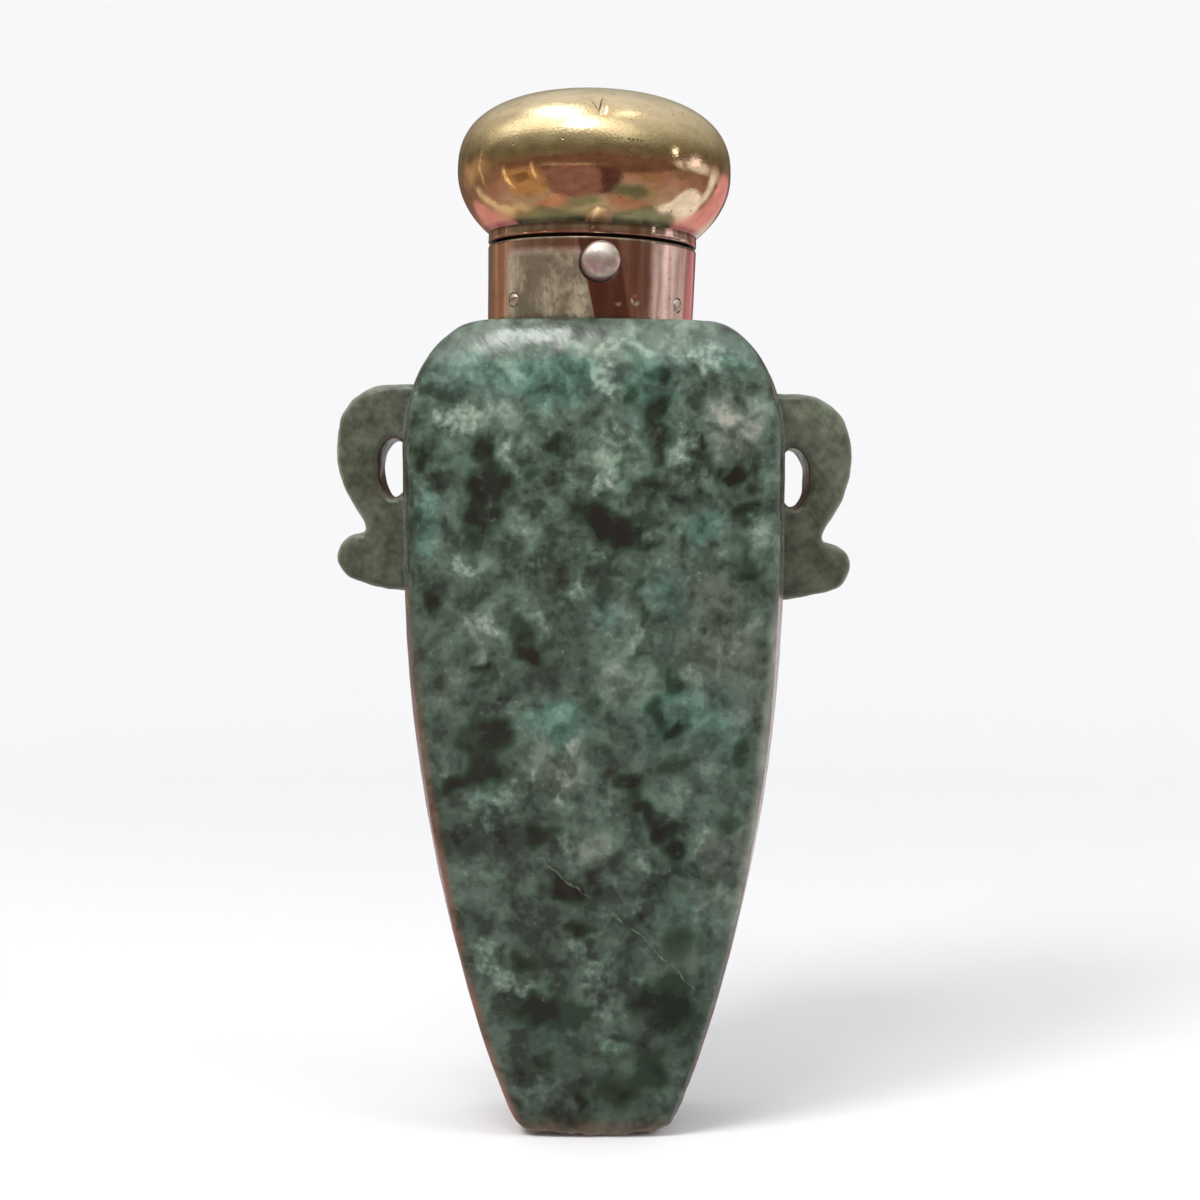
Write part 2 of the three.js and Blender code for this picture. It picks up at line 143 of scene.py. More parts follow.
# Screws
SCREW_ANGLES = {"screw_left": -51.5, "screw_right": 51.5, "screw_back": 180.0}
SCREW_SLOT_TURNS = {"screw_left": 12, "screw_right": 75, "screw_back": -30}
SCREW_HEIGHT = 1.6
SCREW_HEAD_RADIUS = 0.62
SCREW_HEAD_THICKNESS = 0.55
SCREW_HEAD_PROUD = 0.18
SCREW_DOME = 0.26
SCREW_SHANK_RADIUS = 0.3
SCREW_SHANK_LENGTH = 2.4
SCREW_CLEARANCE = 0.15
SCREW_SLOT_WIDTH = 0.32
SCREW_SLOT_DEPTH = 0.25

# What follows from them
FITTING_FOOT = SHOULDER_HEIGHT + SEAT_GAP
COLLAR_BORE = COLLAR_FOOT_RADIUS - COLLAR_WALL
NECK_RADIUS = COLLAR_BORE - NECK_CLEARANCE
NECK_TOP = SCREW_HEIGHT + NECK_RISE_ABOVE_SCREWS
LID_FOOT = COLLAR_HEIGHT + SEAM_GAP
LID_BORE = COLLAR_RADIUS - LID_WALL
LID_SWELL_HEIGHT = LID_FOOT + LID_BAND_HEIGHT + LID_SWELL_RISE
BEZEL_RADIUS = COLLAR_BORE + BEZEL_WALL
HINGE_BACK = COLLAR_RADIUS + KNUCKLE_RADIUS + KNUCKLE_CLEARANCE
HINGE_HEIGHT = COLLAR_HEIGHT
BUTTON_HEIGHT = COLLAR_HEIGHT - BUTTON_LAND - BUTTON_CLEARANCE - BUTTON_RADIUS
HINGE = Matrix.Translation((0, HINGE_BACK, HINGE_HEIGHT)) @ Matrix.Rotation(math.pi / 2, 4, "Y")
SCREW_SEAT = COLLAR_FOOT_RADIUS + SCREW_HEAD_PROUD - SCREW_HEAD_THICKNESS
FITTING = (
    Matrix.Translation((FITTING_OFFSET, 0, FITTING_FOOT))
    @ Matrix.Rotation(FITTING_LEAN, 4, "Y")
    @ Matrix.Rotation(FITTING_TURN, 4, "Z")
)

# Fineness of the surfaces
FACE_STEPS = 78
FLANK_STEPS = 50
RIDGE_STEPS = 5
FLANK_LEVELS = 140
SHOULDER_LEVELS = 50
BASE_LEVELS = 10
REMESH_SIZE = 0.24
LID_SEGMENTS = 384
COLLAR_SEGMENTS = 384
COLLAR_STEP = 0.2
LID_STEP = 0.25
BUTTON_STEP = 0.3
NECK_SEGMENTS = 128
BORE_SEGMENTS = 64
KNUCKLE_SEGMENTS = 64
PIN_SEGMENTS = 32
PIN_HOLE_SEGMENTS = 48
BUTTON_SEGMENTS = 96
SCREW_SEGMENTS = 48
SHANK_HOLE_SEGMENTS = 32
STONE_HOLE_SEGMENTS = 24
STONE_SHARP_ANGLE = 45
METAL_SHARP_ANGLE = 40
# How far a cutter reaches past what it cuts
EXTRA = 1.0


# Meshes

def new_object(name, points, faces):
    """A mesh object from points in millimetres."""
    mesh = bpy.data.meshes.new(name)
    mesh.from_pydata((np.asarray(points, float) * MM).tolist(), [], [list(face) for face in faces])
    mesh.validate()
    piece = bpy.data.objects.new(name, mesh)
    bpy.context.scene.collection.objects.link(piece)
    return piece


def bake(piece):
    """Puts the result of a piece's modifiers into its mesh."""
    graph = bpy.context.evaluated_depsgraph_get()
    made = bpy.data.meshes.new_from_object(piece.evaluated_get(graph))
    piece.modifiers.clear()
    piece.data = made
    return piece


def combine(piece, others, operation):
    """Joins or cuts a closed piece with others, which are used up."""
    for other in others:
        step = piece.modifiers.new(operation.lower(), "BOOLEAN")
        step.operation = operation
        step.solver = "MANIFOLD"
        step.object = other
    bake(piece)
    for other in others:
        bpy.data.objects.remove(other)
    return piece


def smooth(piece, degrees):
    """Smooth shading that keeps edges sharper than this."""
    piece.data.shade_smooth()
    piece.data.set_sharp_from_angle(angle=math.radians(degrees))
    return piece


def placed(piece, matrix):
    """Moves a mesh by a matrix given in millimetres."""
    moved = matrix.copy()
    moved.translation = matrix.translation * MM
    piece.data.transform(moved)
    return piece


def band(low, high, count):
    """The faces between two rings of points, given the numbers of their first points."""
    pairs = [(i, (i + 1) % count) for i in range(count)]
    return [(low + i, low + j, high + j, high + i) for i, j in pairs]


def stacked(name, rings, low_centre, high_centre):
    """A closed skin over a stack of rings with equal counts, from low to high, anticlockwise from above."""
    count = len(rings[0])
    points = np.concatenate([*rings, [low_centre], [high_centre]])
    faces = []
    for level in range(len(rings) - 1):
        faces.extend(band(level * count, (level + 1) * count, count))
    low_tip, high_tip = len(points) - 2, len(points) - 1
    last = (len(rings) - 1) * count
    for i in range(count):
        j = (i + 1) % count
        faces.append((j, i, low_tip))
        faces.append((last + i, last + j, high_tip))
    return new_object(name, points, faces)


def circle(radius, height, segments):
    angles = np.arange(segments) * 2 * math.pi / segments
    return np.stack(
        [radius * np.cos(angles), radius * np.sin(angles), np.full(segments, float(height))], axis=1
    )


def turned(name, profile, segments):
    """A closed solid of revolution about +Z. Its profile of (radius, height) starts and ends on the axis."""
    rings = [circle(radius, height, segments) for radius, height in profile[1:-1]]
    return stacked(name, rings, (0, 0, profile[0][1]), (0, 0, profile[-1][1]))


def turned_ring(name, profile, segments):
    """A closed ring of revolution about +Z, from a closed profile that runs upwards on its outside."""
    rings = np.array([circle(radius, height, segments) for radius, height in profile])
    faces = []
    for row in range(len(profile)):
        faces.extend(band(row * segments, (row + 1) % len(profile) * segments, segments))
    return new_object(name, rings.reshape(-1, 3), faces)


def rod(name, radius, start, end, segments):
    return turned(name, [(0, start), (radius, start), (radius, end), (0, end)], segments)


def outwards(degrees, height):
    """Turns what is modelled along +Z outwards to one side of the fitting: 0 is the front, 90 the right."""
    turn = Matrix.Rotation(math.radians(degrees), 4, "Z") @ Matrix.Rotation(math.pi / 2, 4, "X")
    return Matrix.Translation((0, 0, height)) @ turn


def along_hinge(name, radius, start, end):
    return placed(rod(name, radius, start, end, PIN_HOLE_SEGMENTS), HINGE)


def block(name, low, high):
    """A plain box between two corners."""
    points = [(x, y, z) for x in (low[0], high[0]) for y in (low[1], high[1]) for z in (low[2], high[2])]
    faces = [(0, 1, 3, 2), (4, 6, 7, 5), (0, 4, 5, 1), (2, 3, 7, 6), (0, 2, 6, 4), (1, 5, 7, 3)]
    return new_object(name, points, faces)


def subdivided(profile, step):
    """A profile with extra points, so that none lie further apart than a step."""
    dense = [profile[0]]
    for start, end in zip(profile[:-1], profile[1:]):
        count = max(1, math.ceil(math.dist(start, end) / step))
        for i in range(1, count + 1):
            share = i / count
            dense.append(tuple(a + (b - a) * share for a, b in zip(start, end)))
    return dense


# Relief

def points_of(piece):
    """A piece's points in millimetres."""
    flat = np.zeros(len(piece.data.vertices) * 3)
    piece.data.vertices.foreach_get("co", flat)
    return flat.reshape(-1, 3) / MM


def normals_of(piece):
    flat = np.zeros(len(piece.data.vertices) * 3)
    piece.data.vertex_normals.foreach_get("vector", flat)
    return flat.reshape(-1, 3)


def from_axis(points):
    return np.hypot(points[:, 0], points[:, 1])


def put_points(piece, points):
    piece.data.vertices.foreach_set("co", (points * MM).ravel())
    piece.data.update()
    return piece


def ripple(points, sizes, seed):
    """Smooth noise from about -1 to 1, with bumps as large as the given sizes along X, Y and Z."""
    shifted = points / np.asarray(sizes, float) + seed * 17.3
    return np.array([noise.noise(Vector(p)) for p in shifted]) * 1.6


def step_up(low, high, values):
    """0 below low, 1 above high and a smooth rise between them."""
    share = np.clip((values - low) / (high - low), 0, 1)
    return share * share * (3 - 2 * share)


# Stone

def flare(foot, belly, height):
    share = min(height / BELLY_HEIGHT, 1)
    return foot + (belly - foot) * math.sin(math.pi / 2 * share**FLARE_POWER)


def shoulder(full, flat, drop, height, power=2):
    climb = max(0, height - (SHOULDER_HEIGHT - drop)) / drop
    return flat + (full - flat) * max(0, 1 - climb**power) ** (1 / power)


def base_inset(round_size, height):
    below = max(0, BASE_ROUND_HEIGHT - height) / BASE_ROUND_HEIGHT
    return round_size * (1 - math.sqrt(max(0, 1 - below**2)))


def stone_half_sizes(height):
    width = shoulder(
        flare(FOOT_HALF_WIDTH, BELLY_HALF_WIDTH, height),
        SHOULDER_FLAT_HALF_WIDTH,
        SHOULDER_DROP_AT_SIDES,
        height,
    )
    depth = shoulder(
        flare(FOOT_HALF_DEPTH, BELLY_HALF_DEPTH, height),
        SHOULDER_FLAT_HALF_DEPTH,
        SHOULDER_DROP_AT_FACES,
        height,
        SHOULDER_POWER_AT_FACES,
    )
    return width - base_inset(BASE_ROUND_AT_SIDES, height), depth - base_inset(BASE_ROUND_AT_FACES, height)


def outline(half_width, half_depth, height, fineness=1.0):
    """One level of the stone: a rectangle with rounded ridges whose faces and flanks swell outwards."""
    share = half_width / BELLY_HALF_WIDTH
    side_x = half_width - FLANK_SWELL * share
    side_y = half_depth - FACE_SWELL * share
    points = []
    for ridge, (sign_x, sign_y) in enumerate(RIDGES):
        centre = np.array([sign_x * (side_x - RIDGE_RADIUS), sign_y * (side_y - RIDGE_RADIUS)])
        for step in range(RIDGE_STEPS + 1):
            angle = (ridge - 1 + step / RIDGE_STEPS) * math.pi / 2
            points.append(centre + RIDGE_RADIUS * np.array([math.cos(angle), math.sin(angle)]))
        along_flank = ridge % 2 == 0
        steps = round((FLANK_STEPS if along_flank else FACE_STEPS) * fineness)
        start = points[-1]
        end = start * ((1, -1) if along_flank else (-1, 1))
        for step in range(1, steps):
            points.append(start + (end - start) * step / steps)
    x, y = np.array(points).T
    swollen_x = x * (1 + FLANK_SWELL * share / side_x * (1 - (y / side_y) ** 2))
    swollen_y = y * (1 + FACE_SWELL * share / side_y * (1 - (x / side_x) ** 2))
    return np.stack([swollen_x, swollen_y, np.full(len(x), float(height))], axis=1)


def body_heights():
    quarter = math.pi / 2
    start = SHOULDER_HEIGHT - SHOULDER_DROP_AT_SIDES
    base = [BASE_ROUND_HEIGHT * (1 - math.cos(angle)) for angle in np.linspace(0, quarter, BASE_LEVELS + 1)]
    flank = list(np.linspace(BASE_ROUND_HEIGHT, start, FLANK_LEVELS + 1))[1:]
    top = [start + SHOULDER_DROP_AT_SIDES * math.sin(a) for a in np.linspace(0, quarter, SHOULDER_LEVELS + 1)]
    return base + flank + top[1:]


def shrunk(ring, shares):
    """The ring drawn in towards its middle at its own level."""
    return [ring * (share, share, 1) for share in shares]


def stone_body():
    rings = [outline(*stone_half_sizes(height), height) for height in body_heights()]
    inner = (0.3, 0.6, 0.85)
    low = shrunk(rings[0], inner)
    high = shrunk(rings[-1], inner[::-1])
    piece = stacked("bottle_stone", [*low, *rings, *high], (0, 0, 0), (0, 0, SHOULDER_HEIGHT))
    return hand_finish(piece)


# What grinding and polishing by hand left: the sizes of its bumps along X, Y and Z, and their height.
FACETS = ((5.0, 5.0, 13.0), 0.07)
WAVES = ((1.7, 1.7, 2.6), 0.022)
FOOT_BUMPS = ((1.1, 1.1, 0.9), 0.07)


def hand_finish(piece):
    points = points_of(piece)
    height = points[:, 2]
    kinds = (FACETS, WAVES, FOOT_BUMPS)
    facets, waves, foot_bumps = (
        ripple(points, sizes, seed) * rise for seed, (sizes, rise) in enumerate(kinds, 1)
    )
    near_shoulder = step_up(66, 73, height)
    near_foot = 1 - step_up(3, 9, height)
    relief = facets + waves * (1 + 1.2 * near_shoulder) + near_foot * foot_bumps
    moved = chipped(points + normals_of(piece) * relief[:, None])
    moved[:, 2] = np.clip(moved[:, 2], 0.0, SHOULDER_HEIGHT)
    return put_points(piece, moved)


# Chips along the foot's edge: place (x, y), reach along X, reach along Y and height.
FOOT_CHIPS = (
    (-4.6, -6.4, 1.9, 1.6, 0.55),
    (-2.7, -6.6, 0.6, 0.8, 0.45),
    (-1.5, -6.7, 0.9, 1.2, 0.4),
    (1.9, -6.8, 1.3, 0.9, 0.25),
    (4.4, -6.0, 1.5, 1.4, 0.5),
    (5.4, 2.5, 1.2, 2.0, 0.5),
    (-5.3, 3.0, 1.0, 1.5, 0.4),
    (1.0, 6.6, 2.2, 1.1, 0.35),
)


def chipped(points):
    moved = points.copy()
    for x, y, reach_x, reach_y, height in FOOT_CHIPS:
        off = np.hypot((points[:, 0] - x) / reach_x, (points[:, 1] - y) / reach_y)
        lift = height * (1 - step_up(0.55, 1.0, off))
        moved[:, 2] = np.maximum(moved[:, 2], np.where(points[:, 2] < height + 0.4, lift, 0))
    return moved


def cavity():
    """The hollow follows the outside at the wall's thickness and is rounded at its floor and ceiling."""
    ends = [CAVITY_ROUND * (1 - math.cos(angle)) for angle in np.linspace(0, math.pi / 2, 9)]
    low = [CAVITY_FLOOR + rise for rise in ends]
    high = [CAVITY_CEILING - rise for rise in reversed(ends)]
    rings = []
    for height in [*low, *np.linspace(low[-1], high[0], 40)[1:-1], *high]:
        from_end = min(height - CAVITY_FLOOR, CAVITY_CEILING - height, CAVITY_ROUND)
        inset = CAVITY_ROUND - math.sqrt(CAVITY_ROUND**2 - (CAVITY_ROUND - from_end) ** 2)
        half_width, half_depth = stone_half_sizes(height)
        rings.append(outline(half_width - STONE_WALL - inset, half_depth - STONE_WALL - inset, height, 0.35))
    return stacked("cavity", rings, (0, 0, CAVITY_FLOOR), (0, 0, CAVITY_CEILING))


# Handles: points are shares of the reach beyond the flank and of the handle's height below its top.
SCROLL = ((0.04, 0), (0.43, 0.012), (0.74, 0.07), (0.925, 0.165), (1, 0.3), (0.975, 0.4),
          (0.87, 0.51), (0.74, 0.59), (0.585, 0.66), (0.545, 0.705))
CURLED_FOOT = ((0.57, 0.72), (0.78, 0.735), (0.925, 0.77), (0.985, 0.82), (0.965, 0.87),
               (0.87, 0.918), (0.74, 0.948), (0.36, 0.98), (0, 1))
SCROLL_STEPS = 80
CURL_STEPS = 60
HOLE_STEPS = 64


def spline(points, steps):
    """A smooth curve through the points, its ends included."""
    given = np.asarray(points, float)
    padded = np.concatenate([[given[0]], given, [given[-1]]])
    places = np.linspace(0, len(given) - 1, steps + 1)
    curve = []
    for place in places:
        i = min(int(place), len(given) - 2)
        t = place - i
        p0, p1, p2, p3 = padded[i : i + 4]
        v0, v1 = (p2 - p0) / 2, (p3 - p1) / 2
        curve.append(
            (2 * p1 - 2 * p2 + v0 + v1) * t**3 + (-3 * p1 + 3 * p2 - 2 * v0 - v1) * t**2 + v0 * t + p1
        )
    return np.array(curve)


def handle(side, top):
    """One handle: a thick plate cut to a scroll over a curled foot, with a hole, its edges worn round."""
    def place(points):
        out, down = np.asarray(points, float).T
        return np.stack(
            [side * (BELLY_HALF_WIDTH + out * (HANDLE_REACH - BELLY_HALF_WIDTH)), top - down * HANDLE_HEIGHT],
            axis=1,
        )

    root = side * (BELLY_HALF_WIDTH - FLANK_SWELL - STONE_WALL / 2)
    edge = np.concatenate([
        [[root, top - HANDLE_HEIGHT], [root, top]],
        spline(place(SCROLL), SCROLL_STEPS),
        spline(place(CURLED_FOOT), CURL_STEPS),
    ])
    inside = BELLY_HALF_WIDTH - HANDLE_EDGE_ROUND
    outside = BELLY_HALF_WIDTH + HANDLE_HOLE_SHARE * (HANDLE_REACH - BELLY_HALF_WIDTH)
    angles = np.arange(HOLE_STEPS) * 2 * math.pi / HOLE_STEPS
    hole = np.stack(
        [
            side * (inside + outside) / 2 + (outside - inside) / 2 * np.cos(angles),
            top - HANDLE_HOLE_DEPTH_BELOW_TOP + HANDLE_HOLE_HEIGHT / 2 * np.sin(angles),
        ],
        axis=1,
    )
    curve = bpy.data.curves.new("handle", "CURVE")
    curve.dimensions = "2D"
    curve.fill_mode = "BOTH"
    curve.extrude = (HANDLE_THICKNESS / 2 - HANDLE_EDGE_ROUND) * MM
    curve.bevel_depth = HANDLE_EDGE_ROUND * MM
    curve.bevel_resolution = 4
    curve.offset = -HANDLE_EDGE_ROUND * MM
    for ring in (edge, hole):
        line = curve.splines.new("POLY")
        line.points.add(len(ring) - 1)
        for point, (x, z) in zip(line.points, ring * MM):
            point.co = (x, z, 0, 1)
        line.use_cyclic_u = True
    drawn = bpy.data.objects.new("handle", curve)
    bpy.context.scene.collection.objects.link(drawn)
    graph = bpy.context.evaluated_depsgraph_get()
    mesh = bpy.data.meshes.new_from_object(drawn.evaluated_get(graph))
    bpy.data.objects.remove(drawn)
    piece = bpy.data.objects.new("handle", mesh)
    bpy.context.scene.collection.objects.link(piece)
    placed(piece, Matrix.Rotation(math.pi / 2, 4, "X"))
    weld = piece.modifiers.new("weld", "WELD")
    weld.merge_threshold = 0.01 * MM
    remesh = piece.modifiers.new("remesh", "REMESH")
    remesh.mode = "VOXEL"
    remesh.voxel_size = REMESH_SIZE * MM
    ease = piece.modifiers.new("ease", "SMOOTH")
    ease.factor = 0.5
    ease.iterations = 3
    bake(piece)
    points = points_of(piece)
    rough = ripple(points, (1.2, 1.2, 1.2), 5) * 0.05 + ripple(points, (3.5, 3.5, 3.5), 6) * 0.08
    moved = points + normals_of(piece) * rough[:, None]
    moved[:, 0] = np.clip(moved[:, 0], -HANDLE_REACH + 0.01, HANDLE_REACH - 0.01)
    return put_points(piece, moved)


def stone_with_handles():
    piece = stone_body()
    neck = placed(rod("neck", NECK_RADIUS, -COLLAR_HEIGHT / 2, NECK_TOP, NECK_SEGMENTS), FITTING)
    bore_foot = CAVITY_CEILING - SHOULDER_HEIGHT - SEAT_GAP - EXTRA
    bore = placed(rod("bore", BORE_RADIUS, bore_foot, NECK_TOP + EXTRA, BORE_SEGMENTS), FITTING)
    combine(piece, [handle(-1, HANDLE_TOP), handle(1, HANDLE_TOP - RIGHT_HANDLE_DROP), neck], "UNION")
    cuts = [cavity(), bore]
    for degrees in SCREW_ANGLES.values():
        hole = rod(
            "hole",
            SCREW_SHANK_RADIUS + SCREW_CLEARANCE,
            SCREW_SEAT - SCREW_SHANK_LENGTH - SCREW_CLEARANCE,
            COLLAR_BORE + EXTRA,
            STONE_HOLE_SEGMENTS,
        )
        cuts.append(placed(hole, FITTING @ outwards(degrees, SCREW_HEIGHT)))
    combine(piece, cuts, "DIFFERENCE")
    return smooth(piece, STONE_SHARP_ANGLE)


# Gilt fitting

SEAT_RISE = 0.03
SEAT = SHOULDER_HEIGHT + SEAT_RISE
# The collar's outside is what lies at least this far beyond its bezel.
OUTSIDE_MARGIN = 0.3


def foot_level(points):
    """The local height at which the fitting's wall meets the stone, for points of the fitting's frame."""
    lean = math.sin(FITTING_LEAN)
    across = points[:, 0] * math.cos(FITTING_TURN) - points[:, 1] * math.sin(FITTING_TURN)
    return (SEAT - FITTING_FOOT + lean * across) / math.cos(FITTING_LEAN)


def dented(points, depth, size, seed):
    """Drawn in towards the axis by soft noise, as hand-raised metal is."""
    radius = from_axis(points)
    swell = (ripple(points, (size, size, size), seed) - 1.4) * depth
    scale = np.where(radius > 0.5, (radius + swell) / np.maximum(radius, 0.5), 1)
    moved = points.copy()
    moved[:, :2] *= scale[:, None]
    return moved


def collar():
    """The collar's tube with its bezel, two hinge knuckles, the button's bore and the screws' seats."""
    top = COLLAR_HEIGHT + BEZEL_RISE
    edge = COLLAR_EDGE
    outer = subdivided([(COLLAR_FOOT_RADIUS, 0.0), (COLLAR_RADIUS, COLLAR_HEIGHT - edge)], COLLAR_STEP)
    rest = [
        (COLLAR_RADIUS - 0.3 * edge, COLLAR_HEIGHT - 0.3 * edge),
        (COLLAR_RADIUS - edge, COLLAR_HEIGHT),
        (BEZEL_RADIUS + 0.02, COLLAR_HEIGHT),
        (BEZEL_RADIUS, COLLAR_HEIGHT + 0.05),
        (BEZEL_RADIUS, top - edge),
        (BEZEL_RADIUS - edge, top),
        (COLLAR_BORE + edge, top),
        (COLLAR_BORE, top - edge),
        (COLLAR_BORE, COLLAR_HEIGHT / 2),
        (COLLAR_BORE, 0.0),
    ]
    piece = turned_ring("collar_gilt", outer + rest, COLLAR_SEGMENTS)
    points = points_of(piece)
    # The wall's lower half is drawn out to meet the stone, because the fitting leans.
    level = foot_level(points)
    below = points[:, 2] < COLLAR_HEIGHT / 2
    rise = points[:, 2] / (COLLAR_HEIGHT / 2)
    points[below, 2] = (level + (COLLAR_HEIGHT / 2 - level) * rise)[below]
    on_outside = from_axis(points) > BEZEL_RADIUS + OUTSIDE_MARGIN
    dents = dented(points, *COLLAR_DENTS)
    points = np.where(on_outside[:, None], dents, points)
    points = punched(points)
    put_points(piece, points)
    inner = KNUCKLE_LENGTH / 2 + KNUCKLE_GAP
    outer_end = inner + KNUCKLE_LENGTH
    leaf_top = HINGE_HEIGHT - PIN_RADIUS / 2
    additions = []
    for side in (-1, 1):
        start = min(side * inner, side * outer_end)
        additions.append(knuckle(start, start + KNUCKLE_LENGTH))
        wall = COLLAR_RADIUS - COLLAR_WALL / 2
        additions.append(
            block("leaf", (start + LEAF_INSET, wall, leaf_top - HINGE_LEAF),
                  (start + KNUCKLE_LENGTH - LEAF_INSET, HINGE_BACK, leaf_top))
        )
    combine(piece, additions, "UNION")
    cuts = [along_hinge("pin_hole", PIN_RADIUS + PIN_CLEARANCE, -outer_end - EXTRA, outer_end + EXTRA)]
    bore_radius = BUTTON_RADIUS + BUTTON_CLEARANCE
    bore = rod("bore", bore_radius, COLLAR_BORE - 2 * EXTRA, COLLAR_RADIUS + EXTRA, BUTTON_SEGMENTS)
    cuts.append(placed(bore, outwards(0, BUTTON_HEIGHT)))
    for degrees in SCREW_ANGLES.values():
        place = outwards(degrees, SCREW_HEIGHT)
        shank_radius = SCREW_SHANK_RADIUS + SCREW_CLEARANCE
        shank = rod("shank", shank_radius, COLLAR_BORE - EXTRA, COLLAR_RADIUS, SHANK_HOLE_SEGMENTS)
        seat = rod(
            "seat", SCREW_HEAD_RADIUS + SCREW_CLEARANCE * 0.5, SCREW_SEAT - SCREW_CLEARANCE,
            COLLAR_RADIUS + EXTRA, SCREW_SEGMENTS,
        )
        cuts.extend([placed(shank, place), placed(seat, place)])
    combine(piece, cuts, "DIFFERENCE")
    placed(piece, FITTING)
    return smooth(piece, METAL_SHARP_ANGLE)


def knuckle(start, end):
    """One barrel of the hinge with eased ends."""
    edge = COLLAR_EDGE
    profile = [
        (0, start), (KNUCKLE_RADIUS - edge, start), (KNUCKLE_RADIUS - 0.3 * edge, start + 0.3 * edge),
        (KNUCKLE_RADIUS, start + edge), (KNUCKLE_RADIUS, end - edge),
        (KNUCKLE_RADIUS - 0.3 * edge, end - 0.3 * edge), (KNUCKLE_RADIUS - edge, end), (0, end),
    ]
    return placed(turned("knuckle", profile, KNUCKLE_SEGMENTS), HINGE)


# Worn, blank marks pressed into the collar: degrees from the front, height, half-width, half-height, depth.
COLLAR_MARKS = (
    (-17.0, 1.5, 0.75, 0.42, 0.07),
    (10.5, 1.55, 0.46, 0.5, 0.09),
    (20.5, 1.65, 0.48, 0.46, 0.09),
)


def punched(points):
    moved = points.copy()
    turn = np.degrees(np.arctan2(points[:, 0], -points[:, 1]))
    radius = from_axis(points)
    for degrees, height, half_width, half_height, depth in COLLAR_MARKS:
        along = np.radians(turn - degrees) * COLLAR_RADIUS / half_width
        off = np.hypot(along, (points[:, 2] - height) / half_height)
        dip = depth * (1 - step_up(0.7, 1.05, off)) * (radius > BEZEL_RADIUS + OUTSIDE_MARGIN)
        moved[:, :2] *= (1 - dip / np.maximum(radius, 1))[:, None]
    return moved


def lid_curve(margin, under_steps, crown_steps):
    """One side of the lid's wall from its foot to its crown, drawn inwards by a margin."""
    band_angle = math.acos(COLLAR_RADIUS / LID_SWELL_RADIUS)
    under_drop = LID_SWELL_RISE / math.sin(band_angle)
    under = [
        (LID_SWELL_RADIUS * math.cos(a) - margin, LID_SWELL_HEIGHT - under_drop * math.sin(a))
        for a in np.linspace(band_angle, 0, under_steps + 1)
    ]
    crown = [
        (
            (LID_SWELL_RADIUS - margin) * max(0, math.cos(a)) ** (2 / LID_CROWN_POWER),
            LID_SWELL_HEIGHT + (LID_CROWN_RISE - margin) * math.sin(a) ** (2 / LID_CROWN_POWER),
        )
        for a in np.linspace(0, math.pi / 2, crown_steps + 1)[1:]
    ]
    return under, crown


def lid():
    """The hollow, raised lid with its plain foot band, its knuckle and its leaf."""
    edge = LID_EDGE
    under, crown = lid_curve(LID_OUTSIDE_MARGIN, 26, 110)
    outside = [
        (COLLAR_RADIUS - edge, LID_FOOT),
        (COLLAR_RADIUS, LID_FOOT + edge),
        *subdivided([(COLLAR_RADIUS, LID_FOOT + edge), under[0]], LID_STEP)[1:],
        *under[1:],
        *crown,
    ]
    under, crown = lid_curve(LID_WALL, 8, 14)
    inside = [(LID_BORE, LID_FOOT), *under, *crown]
    profile = [*reversed(inside), *outside]
    profile = [profile[0], *[p for p in profile[1:-1] if p[0] > 1e-6], profile[-1]]
    piece = turned("lid_gilt", profile, LID_SEGMENTS)
    points = points_of(piece)
    outer = np.arange(len(points)) >= len(inside) * LID_SEGMENTS
    knocked = nicked(dented(points, *LID_DENTS))
    points = np.where(outer[:, None], knocked, points)
    put_points(piece, points)
    half = KNUCKLE_LENGTH / 2
    leaf = block("leaf", (-half + LEAF_INSET, LID_BORE + LID_WALL / 2, LID_FOOT),
                 (half - LEAF_INSET, HINGE_BACK, LID_FOOT + HINGE_LEAF))
    combine(piece, [knuckle(-half, half), leaf], "UNION")
    combine(piece, [along_hinge("pin_hole", PIN_RADIUS + PIN_CLEARANCE, -half - EXTRA, half + EXTRA)],
            "DIFFERENCE")
    placed(piece, FITTING)
    return smooth(piece, METAL_SHARP_ANGLE)


# A small V-shaped knock on the lid's crown, and a few dings, in the fitting's frame: start, end, half-width
# and depth.
LID_KNOCKS = (
    ((-0.7, -10.9), (-0.18, -11.9), 0.16, 0.08),
    ((0.23, -10.55), (-0.15, -12.1), 0.22, 0.15),
    ((4.2, -7.9), (4.5, -8.1), 0.3, 0.05),
    ((-5.5, 3.0), (-4.6, 3.4), 0.3, 0.06),
)


def nicked(points):
    moved = points.copy()
    for start, end, half_width, depth in LID_KNOCKS:
        a, b = np.array(start), np.array(end)
        share = np.clip(((points[:, :2] - a) @ (b - a)) / ((b - a) @ (b - a)), 0, 1)
        off = np.linalg.norm(points[:, :2] - (a + share[:, None] * (b - a)), axis=1)
        dip = depth * (1 - step_up(0.2, 1.0, off / half_width)) * (points[:, 2] > LID_SWELL_HEIGHT)
        moved[:, 2] -= dip
    return moved


def hinge_pin():
    half = KNUCKLE_LENGTH / 2 + KNUCKLE_GAP + KNUCKLE_LENGTH
    edge = PIN_EDGE
    profile = [
        (0, -half), (PIN_RADIUS - edge, -half), (PIN_RADIUS, -half + edge),
        (PIN_RADIUS, half - edge), (PIN_RADIUS - edge, half), (0, half),
    ]
    piece = turned("hinge_pin_steel", profile, PIN_SEGMENTS)
    placed(piece, FITTING @ HINGE)
    return smooth(piece, METAL_SHARP_ANGLE)


